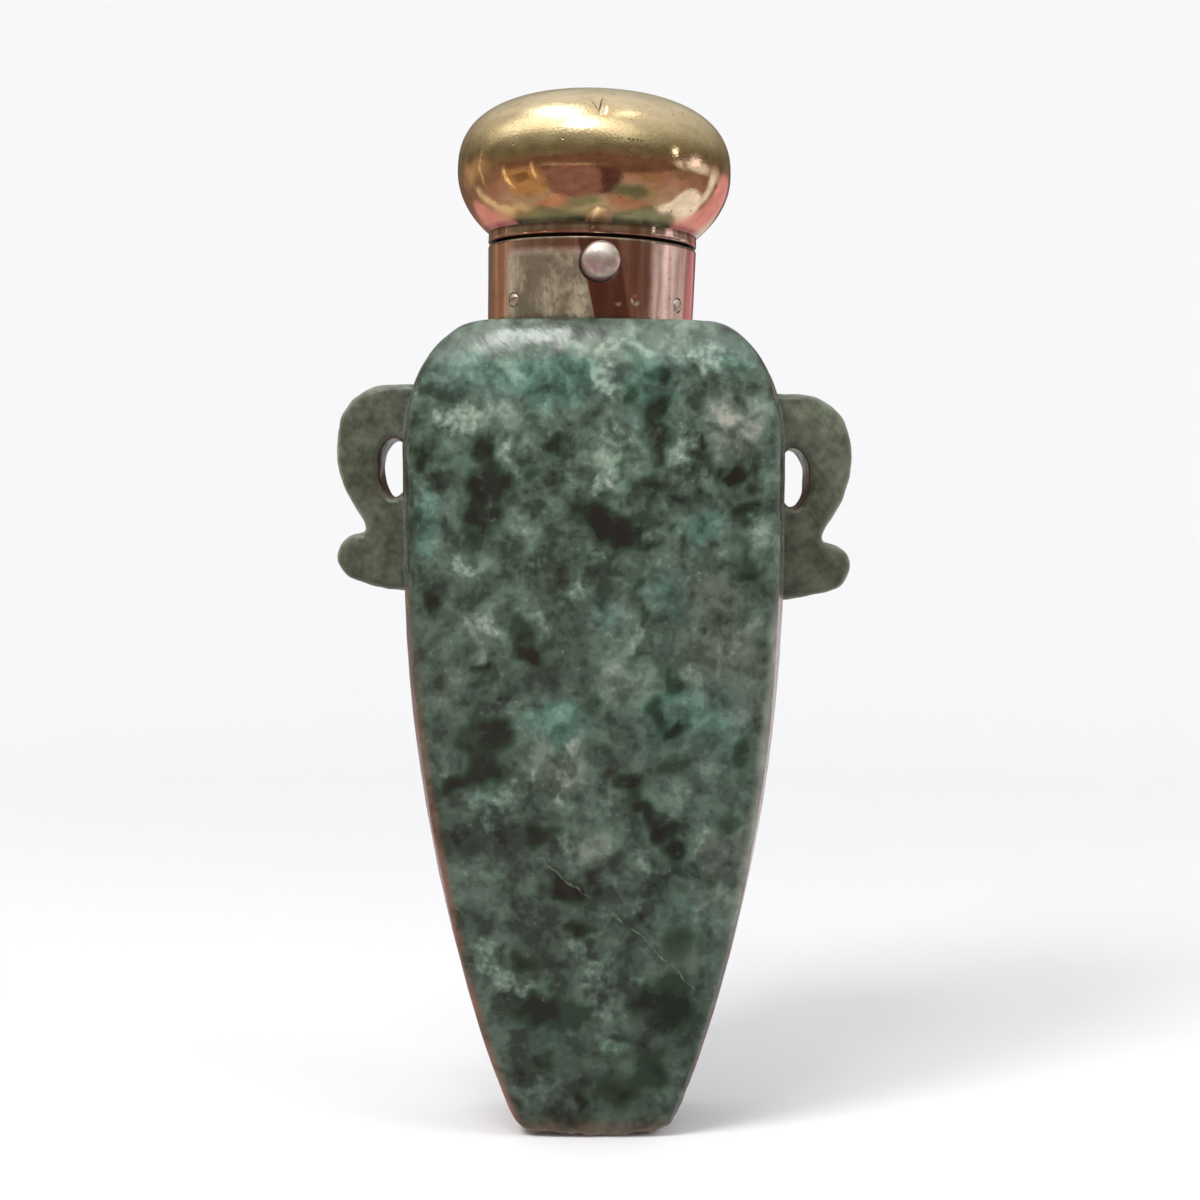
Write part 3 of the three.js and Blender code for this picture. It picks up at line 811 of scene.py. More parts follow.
def push_button():
    """The button lies along +Z: a flange that keeps it in, the shank in its bore and the domed head."""
    flange_radius = BUTTON_RADIUS + BUTTON_FLANGE
    flange_face = math.sqrt(COLLAR_BORE**2 - flange_radius**2) - BUTTON_CLEARANCE
    tip = COLLAR_RADIUS + BUTTON_STANDS_PROUD
    dome = [
        (BUTTON_RADIUS * max(0, math.cos(a)) ** 0.9, tip - BUTTON_DOME + BUTTON_DOME * math.sin(a))
        for a in np.linspace(0, math.pi / 2, 19)
    ]
    profile = [
        (0, flange_face - BUTTON_FLANGE_THICKNESS),
        (flange_radius, flange_face - BUTTON_FLANGE_THICKNESS),
        (flange_radius, flange_face),
        (BUTTON_RADIUS, flange_face),
        *subdivided([(BUTTON_RADIUS, flange_face), dome[0]], BUTTON_STEP)[1:],
        *dome[1:],
    ]
    piece = turned("push_button_silver", profile, BUTTON_SEGMENTS)
    points = points_of(piece)
    worn = ripple(points, (1.0, 1.0, 1.0), 31) * BUTTON_WEAR
    front = points[:, 2] > flange_face + 0.5
    points += normals_of(piece) * (worn * front)[:, None] - np.array([0, 0, BUTTON_WEAR]) * front[:, None]
    put_points(piece, points)
    placed(piece, FITTING @ outwards(0, BUTTON_HEIGHT))
    return smooth(piece, METAL_SHARP_ANGLE)


def screw(name, degrees, slot_turn):
    """A screw along +Z: shank, low domed head and its slot."""
    head_top = SCREW_SEAT + SCREW_HEAD_THICKNESS
    crown = [
        (SCREW_HEAD_RADIUS * math.cos(a), head_top - SCREW_DOME + SCREW_DOME * math.sin(a))
        for a in np.linspace(0, math.pi / 2, 9)
    ]
    profile = [
        (0, SCREW_SEAT - SCREW_SHANK_LENGTH),
        (SCREW_SHANK_RADIUS, SCREW_SEAT - SCREW_SHANK_LENGTH),
        (SCREW_SHANK_RADIUS, SCREW_SEAT),
        (SCREW_HEAD_RADIUS, SCREW_SEAT),
        *crown,
    ]
    piece = turned(name + "_silver", profile, SCREW_SEGMENTS)
    slot = block(
        "slot",
        (-SCREW_HEAD_RADIUS - EXTRA, -SCREW_SLOT_WIDTH / 2, head_top - SCREW_SLOT_DEPTH),
        (SCREW_HEAD_RADIUS + EXTRA, SCREW_SLOT_WIDTH / 2, head_top + EXTRA),
    )
    placed(slot, Matrix.Rotation(math.radians(slot_turn), 4, "Z"))
    combine(piece, [slot], "DIFFERENCE")
    placed(piece, FITTING @ outwards(degrees, SCREW_HEIGHT))
    return smooth(piece, METAL_SHARP_ANGLE)


# Fields painted on the stone's points, which the stone's material breaks up further.
# A patch is (x, z, half-width, half-height, strength) on the front face, then any tilt in degrees.
DARK_PATCHES = (
    (-10.0, 63.6, 1.0, 1.6, 0.9), (-10.0, 60.6, 1.9, 2.2, 1.0, 8), (-10.0, 57.9, 1.6, 2.0, 1.0),
    (-15.6, 63.5, 0.6, 2.0, 0.8), (-13.0, 62.8, 1.2, 1.0, 0.5), (-3.3, 64.5, 1.0, 1.1, 0.8),
    (-5.8, 61.6, 1.2, 0.8, 0.6), (1.0, 57.6, 2.6, 1.5, 1.0, -25), (2.4, 56.2, 1.7, 1.4, 1.0),
    (4.4, 55.3, 0.8, 0.8, 0.7), (5.9, 70.4, 1.1, 0.9, 0.9, -20), (6.1, 67.7, 0.8, 1.0, 1.0),
    (3.2, 68.3, 0.9, 1.0, 0.8), (3.4, 72.3, 1.4, 0.6, 0.6, -40), (5.2, 65.4, 1.0, 2.7, 1.0, 8),
    (5.6, 62.8, 0.9, 1.2, 0.9), (9.2, 64.6, 1.2, 0.5, 0.8, -35), (13.1, 61.2, 1.1, 0.9, 1.0),
    (11.3, 61.8, 0.6, 0.9, 0.7), (13.9, 58.3, 1.3, 0.8, 0.9), (5.0, 60.6, 2.0, 0.8, 0.8, -10),
    (12.8, 71.4, 0.8, 0.5, 0.7, -40), (2.6, 63.1, 0.8, 0.6, 0.6), (-11.0, 55.6, 1.6, 0.8, 0.7, -45),
    (-14.7, 50.0, 0.6, 1.3, 0.8, 15), (-5.8, 45.8, 2.1, 1.0, 1.0, -40), (-10.1, 43.8, 1.0, 0.6, 0.9),
    (-11.4, 46.0, 0.8, 1.0, 0.6), (-10.0, 51.0, 1.2, 0.6, 0.6), (-7.4, 47.9, 1.3, 0.5, 0.6),
    (-2.2, 50.1, 1.2, 0.5, 0.6, -35), (-0.4, 53.5, 0.8, 0.6, 0.5, -40), (3.9, 52.0, 0.9, 1.3, 0.7, 15),
    (4.3, 48.9, 0.5, 1.4, 0.6, 25), (9.7, 47.5, 0.5, 0.7, 0.9), (4.3, 45.4, 1.4, 0.4, 0.6, 10),
    (7.1, 42.9, 0.8, 1.8, 0.8), (5.9, 40.3, 0.8, 1.5, 0.8, 20), (14.1, 52.9, 1.1, 1.4, 0.8),
    (13.2, 55.2, 1.2, 1.5, 0.6, 20), (7.0, 56.8, 0.8, 0.6, 0.6), (-0.4, 40.7, 0.8, 1.1, 0.6),
    (-10.2, 37.7, 2.4, 1.9, 0.9), (-10.0, 34.8, 2.0, 1.6, 1.0), (-12.2, 33.6, 1.4, 1.1, 0.9, 20),
    (-8.6, 38.8, 1.2, 1.2, 0.8), (-2.6, 23.9, 1.9, 1.2, 0.9, -35), (-5.3, 28.6, 2.2, 0.7, 0.6, 12),
    (-8.4, 23.6, 0.7, 0.6, 0.6), (-7.6, 35.0, 0.4, 1.0, 0.5), (6.8, 38.2, 0.9, 0.6, 0.9),
    (3.0, 33.8, 1.3, 1.2, 1.0, -20), (4.4, 31.4, 1.4, 1.2, 1.0, -35), (6.0, 29.7, 1.3, 1.1, 1.0, -35),
    (7.5, 27.8, 1.2, 1.3, 0.9), (6.6, 35.2, 1.6, 1.0, 0.6), (13.5, 35.8, 0.9, 1.6, 0.7),
    (12.0, 29.8, 1.4, 0.7, 0.5), (10.6, 24.6, 0.9, 0.7, 0.6), (-1.6, 20.3, 1.3, 0.7, 0.8),
    (-6.6, 17.2, 1.9, 1.2, 0.7), (-4.6, 12.6, 2.6, 2.4, 0.85, 10), (-1.5, 11.9, 1.6, 1.5, 0.7),
    (4.4, 13.2, 1.2, 1.6, 0.7), (7.4, 13.4, 2.2, 3.0, 0.75), (-4.7, 8.1, 1.2, 1.0, 0.7),
    (2.1, 4.6, 2.4, 1.9, 0.75), (5.2, 6.5, 1.8, 2.2, 0.6), (7.8, 19.0, 1.6, 2.0, 0.5),
    (-1.3, 3.6, 0.4, 1.4, 0.7), (2.0, 8.6, 2.4, 1.0, 0.5),
)
PALE_PATCHES = (
    (-11.9, 66.2, 1.7, 1.5, 1.0), (-13.8, 66.4, 0.8, 0.9, 0.7), (-14.9, 69.1, 0.5, 0.9, 0.6),
    (-11.3, 67.6, 0.4, 0.4, 0.8), (-8.5, 64.2, 1.1, 1.2, 0.5), (-7.8, 62.0, 1.1, 0.9, 0.5, -30),
    (-2.3, 61.7, 0.8, 0.8, 0.4), (0.9, 70.6, 1.4, 1.5, 0.8), (1.6, 68.2, 0.6, 0.6, 0.6),
    (2.0, 64.6, 1.3, 1.4, 0.45), (0.9, 60.8, 0.8, 0.9, 0.7), (8.0, 63.9, 1.7, 2.1, 0.5),
    (12.2, 67.1, 0.6, 0.7, 0.25), (13.9, 65.6, 1.0, 0.9, 0.15), (9.3, 61.3, 1.2, 1.2, 0.4),
    (10.0, 72.0, 3.2, 1.4, 0.5, -10), (2.6, 73.2, 2.4, 0.7, 0.5), (-1.5, 74.0, 4.0, 0.7, 0.4),
    (-12.1, 53.4, 0.9, 1.1, 1.0, 10), (-1.5, 51.1, 0.9, 0.9, 0.9), (-9.9, 56.8, 1.1, 0.8, 0.5),
    (-12.2, 55.9, 0.8, 0.7, 0.4), (-8.5, 54.5, 0.6, 0.6, 0.5), (-5.2, 53.9, 0.7, 0.6, 0.5),
    (-5.8, 52.4, 0.6, 0.6, 0.5), (-5.3, 50.4, 0.5, 0.4, 0.5), (-9.6, 52.4, 0.6, 0.5, 0.6),
    (-10.4, 47.9, 1.4, 1.2, 0.5), (-6.6, 49.0, 0.8, 0.7, 0.5), (-4.8, 48.2, 1.3, 1.0, 0.4),
    (-9.2, 45.2, 0.8, 0.7, 0.5), (-8.5, 44.0, 0.7, 0.5, 0.5), (-12.4, 44.0, 0.6, 0.5, 0.4),
    (-7.8, 41.1, 1.6, 1.0, 0.4), (-0.3, 54.4, 1.0, 0.8, 0.5, -30), (0.4, 47.9, 0.9, 0.6, 0.7),
    (8.7, 53.8, 0.4, 0.4, 0.8), (8.8, 52.1, 0.3, 0.4, 0.6), (3.7, 46.5, 1.2, 0.7, 1.0, 30),
    (3.9, 47.6, 0.5, 0.6, 0.8), (8.1, 43.7, 1.4, 0.7, 0.7), (14.1, 48.3, 0.6, 0.5, 0.6),
    (4.3, 56.4, 1.1, 0.5, 0.5, -30), (14.5, 56.9, 0.7, 0.9, 0.4, -30), (2.6, 42.6, 0.8, 0.6, 0.4),
    (-8.4, 32.4, 1.5, 1.7, 0.6), (-9.6, 29.8, 1.4, 0.5, 0.7, -40), (-11.1, 31.7, 0.7, 0.7, 0.5),
    (-13.3, 34.7, 0.7, 0.9, 0.4), (-2.5, 28.3, 1.0, 1.2, 0.7), (-3.2, 32.1, 0.5, 0.5, 0.9),
    (-2.6, 34.3, 0.9, 1.3, 0.5), (-5.2, 34.1, 0.6, 0.5, 0.6), (-2.2, 37.0, 0.8, 0.7, 0.4),
    (-5.0, 26.7, 0.8, 0.5, 0.4), (4.1, 26.0, 0.8, 0.8, 0.8), (1.7, 24.6, 0.9, 0.6, 0.5),
    (1.2, 31.6, 0.9, 0.6, 0.5), (2.5, 29.7, 0.6, 0.6, 0.4), (9.5, 28.5, 0.6, 1.3, 0.5),
    (4.2, 22.1, 0.9, 0.7, 0.5), (-1.2, 18.5, 1.3, 0.8, 1.0, -15), (-0.1, 16.5, 2.0, 0.7, 0.8, 5),
    (0.9, 14.9, 1.8, 0.9, 0.6), (0.2, 12.8, 1.2, 1.0, 0.6), (1.8, 9.1, 1.5, 0.8, 0.7),
    (4.8, 13.6, 1.0, 0.9, 0.35), (-2.2, 10.4, 0.5, 0.4, 0.4), (-10.2, 17.8, 1.6, 0.8, 1.0, -50),
    (-8.2, 15.4, 1.9, 0.9, 1.0, -30), (-5.2, 14.6, 1.8, 0.7, 0.9), (3.9, 15.6, 1.1, 0.5, 0.5),
    (-4.6, 4.9, 1.3, 1.6, 0.3), (-6.6, 21.4, 1.4, 0.8, 0.4),
)
TEAL_PATCHES = (
    (-3.5, 70.0, 4.5, 2.6, 1.0), (-12.0, 70.8, 4.0, 2.8, 0.6), (-15.3, 57.5, 1.2, 4.0, 0.8),
    (5.0, 69.8, 2.6, 3.2, 0.8), (12.0, 72.2, 4.0, 2.0, 0.5), (9.8, 56.8, 1.8, 1.8, 0.8),
    (6.6, 50.6, 1.8, 2.4, 0.7), (1.0, 49.3, 1.6, 1.4, 0.6), (-3.5, 39.5, 3.2, 2.0, 0.9),
    (7.6, 39.4, 3.4, 3.0, 0.6), (12.6, 38.0, 2.4, 3.4, 0.5), (9.0, 22.0, 2.6, 2.0, 0.5),
    (-4.6, 11.0, 3.4, 3.0, 0.5), (-9.6, 33.0, 2.0, 2.0, 0.4),
)
MAUVE_PATCHES = (
    (12.8, 65.8, 2.6, 3.4, 0.9), (11.0, 50.6, 3.0, 2.2, 0.9), (11.2, 45.8, 3.6, 2.6, 1.0),
    (14.2, 42.0, 1.6, 6.0, 0.7), (-3.0, 35.0, 2.8, 2.6, 0.7), (-13.2, 42.6, 1.6, 2.6, 0.6),
    (1.8, 43.0, 2.4, 1.6, 0.6), (11.9, 27.2, 2.4, 2.6, 0.9), (10.6, 23.2, 2.0, 2.2, 0.8),
    (-0.3, 27.4, 1.5, 1.8, 0.8), (-5.6, 45.6, 1.2, 1.0, 0.5), (7.3, 16.8, 2.6, 2.6, 0.6),
    (-10.8, 46.4, 1.6, 2.4, 0.5), (2.2, 33.2, 1.2, 1.2, 0.6), (-9.4, 59.6, 1.6, 3.4, 0.3),
)
FRONT_REACH = 7.0
BACK_PATCH_COUNT = 46
BACK_PATCH_SEED = 5


def patch_field(points, warped, patches):
    """How far each point lies inside the front face's patches, from 0 to 1."""
    clear = np.ones(len(points))
    front = 1 - step_up(-BELLY_HALF_DEPTH + FRONT_REACH, -1.0, points[:, 1])
    for x, z, half_width, half_height, strength, *tilt in patches:
        cosine, sine = math.cos(math.radians(sum(tilt))), math.sin(math.radians(sum(tilt)))
        off_x, off_z = warped[:, 0] - x, warped[:, 2] - z
        u = (off_x * cosine + off_z * sine) / half_width
        v = (off_z * cosine - off_x * sine) / half_height
        inside = 1 - step_up(0.3, 1.6, np.hypot(u, v))
        clear *= 1 - strength * inside * front
    return 1 - clear


def back_field(points, warped, seed, count):
    """Patches of the same kind strewn over the sides and the back."""
    draw = np.random.default_rng(seed)
    clear = np.ones(len(points))
    behind = step_up(-BELLY_HALF_DEPTH + FRONT_REACH * 0.4, 0.0, points[:, 1])
    for _ in range(count):
        x, y, z = draw.uniform(-18, 18), draw.uniform(-2, 13), draw.uniform(2, 74)
        size, stretch, strength = draw.uniform(0.8, 2.6), draw.uniform(0.6, 1.6), draw.uniform(0.4, 1.0)
        off = warped - np.array([x, y, z])
        inside = 1 - step_up(0.3, 1.6, np.linalg.norm(off / (size * stretch, size * 1.6, size), axis=1))
        clear *= 1 - strength * inside * behind
    return 1 - clear


# Heights of the painted reddish reflection on the lower left flank, of the painted pale reflection on the
# right flank and of the handles' lowest edge; how strong and how high the reddening at the foot is; how
# strongly the handles' worn rims are paled.
RED_REFLECTION_HEIGHTS = (20, 52)
RIGHT_REFLECTION_HEIGHTS = (8, 30, 46, 52)
HANDLE_LOWEST = (48.5, 49.5)
REDDENING_AT_FOOT = 0.6
FOOT_REDDENING_HEIGHTS = (0.6, 2.2)
WORN_RIM_SHARE = 0.8


def paint_stone(piece):
    """Writes the stone's fields as point attributes."""
    points = points_of(piece)
    x, y, z = points.T
    from_middle = np.abs(x)
    drift, fine = (
        np.stack([ripple(points, (size, size, size), first + i) for i in range(3)], axis=1)
        for size, first in ((1.6, 41), (0.8, 44))
    )
    warped = points + drift * 0.6 + fine * 0.35
    on_handle = step_up(BELLY_HALF_WIDTH - 1.2, BELLY_HALF_WIDTH + 0.2, from_middle)
    on_handle *= step_up(*HANDLE_LOWEST, z)
    flank = stone_flank(points)
    # Painted reflection: the lower left flank is tinted reddish. The foot, and further down the insides of
    # the handles' holes, are reddened too.
    red_reflection_and_reddening = flank * (x < 0) * (1 - step_up(*RED_REFLECTION_HEIGHTS, z)) * (1 - on_handle)
    red_reflection_and_reddening = np.maximum(red_reflection_and_reddening, (1 - step_up(*FOOT_REDDENING_HEIGHTS, z)) * REDDENING_AT_FOOT)
    # Painted reflection: a pale strip down the right flank.
    painted_right_reflection = flank * (x > 0)
    painted_right_reflection *= step_up(*RIGHT_REFLECTION_HEIGHTS[:2], z) * (1 - step_up(*RIGHT_REFLECTION_HEIGHTS[2:], z))
    turned_away = 1 - np.abs(normals_of(piece)[:, 1])
    worn_rim = on_handle * step_up(0.1, 0.5, turned_away)
    worn_rim *= step_up(HANDLE_THICKNESS / 2 - 1.0, HANDLE_THICKNESS / 2 - 0.4, np.abs(y))
    hole_reach = HANDLE_HOLE_SHARE * (HANDLE_REACH - BELLY_HALF_WIDTH)
    hole_out = BELLY_HALF_WIDTH + (hole_reach - HANDLE_EDGE_ROUND) / 2
    hole_half = (hole_reach + HANDLE_EDGE_ROUND) / 2
    hole_up = HANDLE_TOP - HANDLE_HOLE_DEPTH_BELOW_TOP - RIGHT_HANDLE_DROP * (x > 0)
    from_hole = np.hypot((from_middle - hole_out) / hole_half, (z - hole_up) / (HANDLE_HOLE_HEIGHT / 2))
    in_hole = (1 - step_up(1.1, 1.35, from_hole)) * step_up(0.1, 0.6, turned_away)
    red_reflection_and_reddening = np.maximum(red_reflection_and_reddening, in_hole * step_up(BELLY_HALF_WIDTH, hole_out, from_middle) * 0.8)

    def both(patches, seed, count, thinned=1.0):
        front = patch_field(points, warped, patches)
        return np.maximum(front, back_field(points, warped, BACK_PATCH_SEED + seed, count) * thinned)

    fields = {
        "dark": both(DARK_PATCHES, 0, BACK_PATCH_COUNT, 1 - 0.7 * flank),
        "pale": both(PALE_PATCHES, 1, BACK_PATCH_COUNT),
        "teal": both(TEAL_PATCHES, 2, BACK_PATCH_COUNT // 2),
        "mauve": patch_field(points, warped, MAUVE_PATCHES),
        "handle": on_handle,
        "red_reflection_and_reddening": red_reflection_and_reddening,
        "pale_reflection_and_wear": np.maximum(painted_right_reflection, worn_rim * (1 - in_hole) * WORN_RIM_SHARE),
    }
    for name, values in fields.items():
        attribute = piece.data.attributes.new(name, "FLOAT", "POINT")
        attribute.data.foreach_set("value", np.clip(values, 0, 1).astype(np.float32))
    return piece


def stone_flank(points):
    """1 on the two narrow sides, 0 on the front and the back."""
    heights = np.clip(points[:, 2], 0, SHOULDER_HEIGHT - 0.7)
    half_widths = np.array([stone_half_sizes(height)[0] for height in heights])
    side_x = half_widths - FLANK_SWELL * half_widths / BELLY_HALF_WIDTH - RIDGE_RADIUS
    return step_up(0.0, RIDGE_RADIUS, np.abs(points[:, 0]) - side_x)


# Materials

class Shader:
    """A material's node tree, with one short call for each kind of node."""

    def __init__(self, name):
        self.material = bpy.data.materials.new(name)
        self.material.use_nodes = True
        self.tree = self.material.node_tree
        self.principled = self.tree.nodes["Principled BSDF"]

    def set(self, socket, value):
        if isinstance(value, bpy.types.NodeSocket):
            self.tree.links.new(value, socket)
        elif isinstance(value, tuple) and len(value) == 3 and socket.type == "RGBA":
            socket.default_value = (*value, 1)
        else:
            socket.default_value = value

    def surface(self, **values):
        for name, value in values.items():
            self.set(self.principled.inputs[name.replace("_", " ")], value)

    def node(self, kind, inputs, **settings):
        """A node of a kind, with the values of its sockets by name or number, and its settings."""
        made = self.tree.nodes.new("ShaderNode" + kind)
        for name, value in settings.items():
            setattr(made, name, value)
        for socket, value in inputs.items():
            self.set(made.inputs[socket], value)
        return made

    def math(self, operation, a, b=0.0):
        return self.node("Math", {0: a, 1: b}, operation=operation).outputs[0]

    def add(self, *values):
        total = values[0]
        for value in values[1:]:
            total = self.math("ADD", total, value)
        return total

    def times(self, *values):
        total = values[0]
        for value in values[1:]:
            total = self.math("MULTIPLY", total, value)
        return total

    def rise(self, value, low, high):
        """0 at low, 1 at high and smooth between them."""
        sockets = {"Value": value, "From Min": low, "From Max": high}
        return self.node("MapRange", sockets, interpolation_type="SMOOTHSTEP").outputs[0]

    def fall(self, value, low, high):
        """1 at low, 0 at high and smooth between them."""
        return self.math("SUBTRACT", 1.0, self.rise(value, low, high))

    def vector(self, operation, a, b=(0.0, 0.0, 0.0)):
        one_number = operation in ("LENGTH", "DOT_PRODUCT")
        node = self.node("VectorMath", {0: a, 1: b}, operation=operation)
        return node.outputs["Value" if one_number else "Vector"]

    def scaled(self, vector, factors):
        return self.vector("MULTIPLY", vector, factors)

    def place(self):
        """The point's place in millimetres."""
        return self.scaled(self.node("TexCoord", {}).outputs["Object"], (1 / MM, 1 / MM, 1 / MM))

    def axis(self, vector, name):
        return self.node("SeparateXYZ", {0: vector}).outputs[name]

    def noise(self, place, size, detail=3.0, roughness=0.5, colour=False):
        """Noise whose largest features are about as large as size, in millimetres."""
        sockets = {"Vector": place, "Scale": 1.0 / size, "Detail": detail, "Roughness": roughness}
        return self.node("TexNoise", sockets).outputs["Color" if colour else "Fac"]

    def swing(self, place, size, detail):
        """Noise about zero."""
        return self.math("SUBTRACT", self.noise(place, size, detail), 0.5)

    def warped(self, place, size, detail, roughness, reach):
        """The place, pushed about by noise as far as the reach along each axis."""
        push = self.noise(place, size, detail, roughness, colour=True)
        push = self.vector("SUBTRACT", push, (0.5, 0.5, 0.5))
        return self.vector("ADD", place, self.scaled(push, reach))

    def cells(self, place, size):
        node = self.node("TexVoronoi", {"Vector": place, "Scale": 1.0 / size})
        return node.outputs["Distance"], node.outputs["Color"]

    def field(self, name):
        return self.node("Attribute", {}, attribute_name=name).outputs["Fac"]

    def mix(self, share, a, b, blend="MIX"):
        return self.node("Mix", {"Factor": share, 6: a, 7: b}, data_type="RGBA", blend_type=blend).outputs[2]

    def tinted(self, colour, by):
        return self.mix(1.0, colour, by, "MULTIPLY")

    def ramp(self, value, stops):
        node = self.node("ValToRGB", {0: value})
        node.color_ramp.interpolation = "EASE"
        while len(node.color_ramp.elements) < len(stops):
            node.color_ramp.elements.new(0.5)
        for element, (position, colour) in zip(node.color_ramp.elements, stops):
            element.position = position
            element.color = (*colour, 1)
        return node.outputs[0]

    def bump(self, height, distance):
        return self.node("Bump", {"Height": height, "Distance": distance * MM, "Strength": 1.0}).outputs[0]

    def line(self, place, start, end, width):
        """1 along a thin line on the front face, from one (x, z) to another."""
        span = Vector((end[0] - start[0], 0, end[1] - start[1]))
        aim = span.normalized()
        off = self.vector("SUBTRACT", place, (start[0], 0.0, start[1]))
        along = self.vector("DOT_PRODUCT", off, tuple(aim))
        across = self.vector("DOT_PRODUCT", off, (-aim.z, 0.0, aim.x))
        near = self.fall(self.math("ABSOLUTE", across), width * 0.3, width)
        begun = self.rise(along, -0.4, 0.8)
        ended = self.fall(along, span.length - 0.8, span.length + 0.4)
        return self.times(near, begun, ended, self.fall(self.axis(place, "Y"), -6.0, -3.0))


def srgb(red, green, blue):
    """A colour named by its screen values, as the linear one that a shader takes."""
    return tuple((value / 255 / 12.92) if value < 10 else ((value / 255 + 0.055) / 1.055) ** 2.4
                 for value in (red, green, blue))


# The stone's tones from dark to light, how light its colours are under the studio's light, and the shoulder's
# best polished spot, at the front left, in millimetres.
STONE_TONES = (
    (0.0, srgb(38, 36, 33)),
    (0.12, srgb(42, 48, 41)),
    (0.3, srgb(58, 70, 59)),
    (0.45, srgb(78, 92, 80)),
    (0.6, srgb(98, 114, 101)),
    (0.76, srgb(122, 139, 125)),
    (0.9, srgb(150, 164, 148)),
    (1.0, srgb(174, 182, 164)),
)
STONE_GAIN = (0.535, 0.56, 0.56)
POLISHED_SPOT = (-5.6, -11.7, 73.6)
STONE_IOR = 1.54

# Fine cracks low on the front face: start and end as (x, z), and width, in millimetres.
STONE_CRACKS = (
    ((-4.4, 26.2), (-0.3, 22.9), 0.14),
    ((1.4, 22.0), (5.1, 18.7), 0.14),
    ((5.1, 18.7), (9.7, 14.0), 0.1),
)


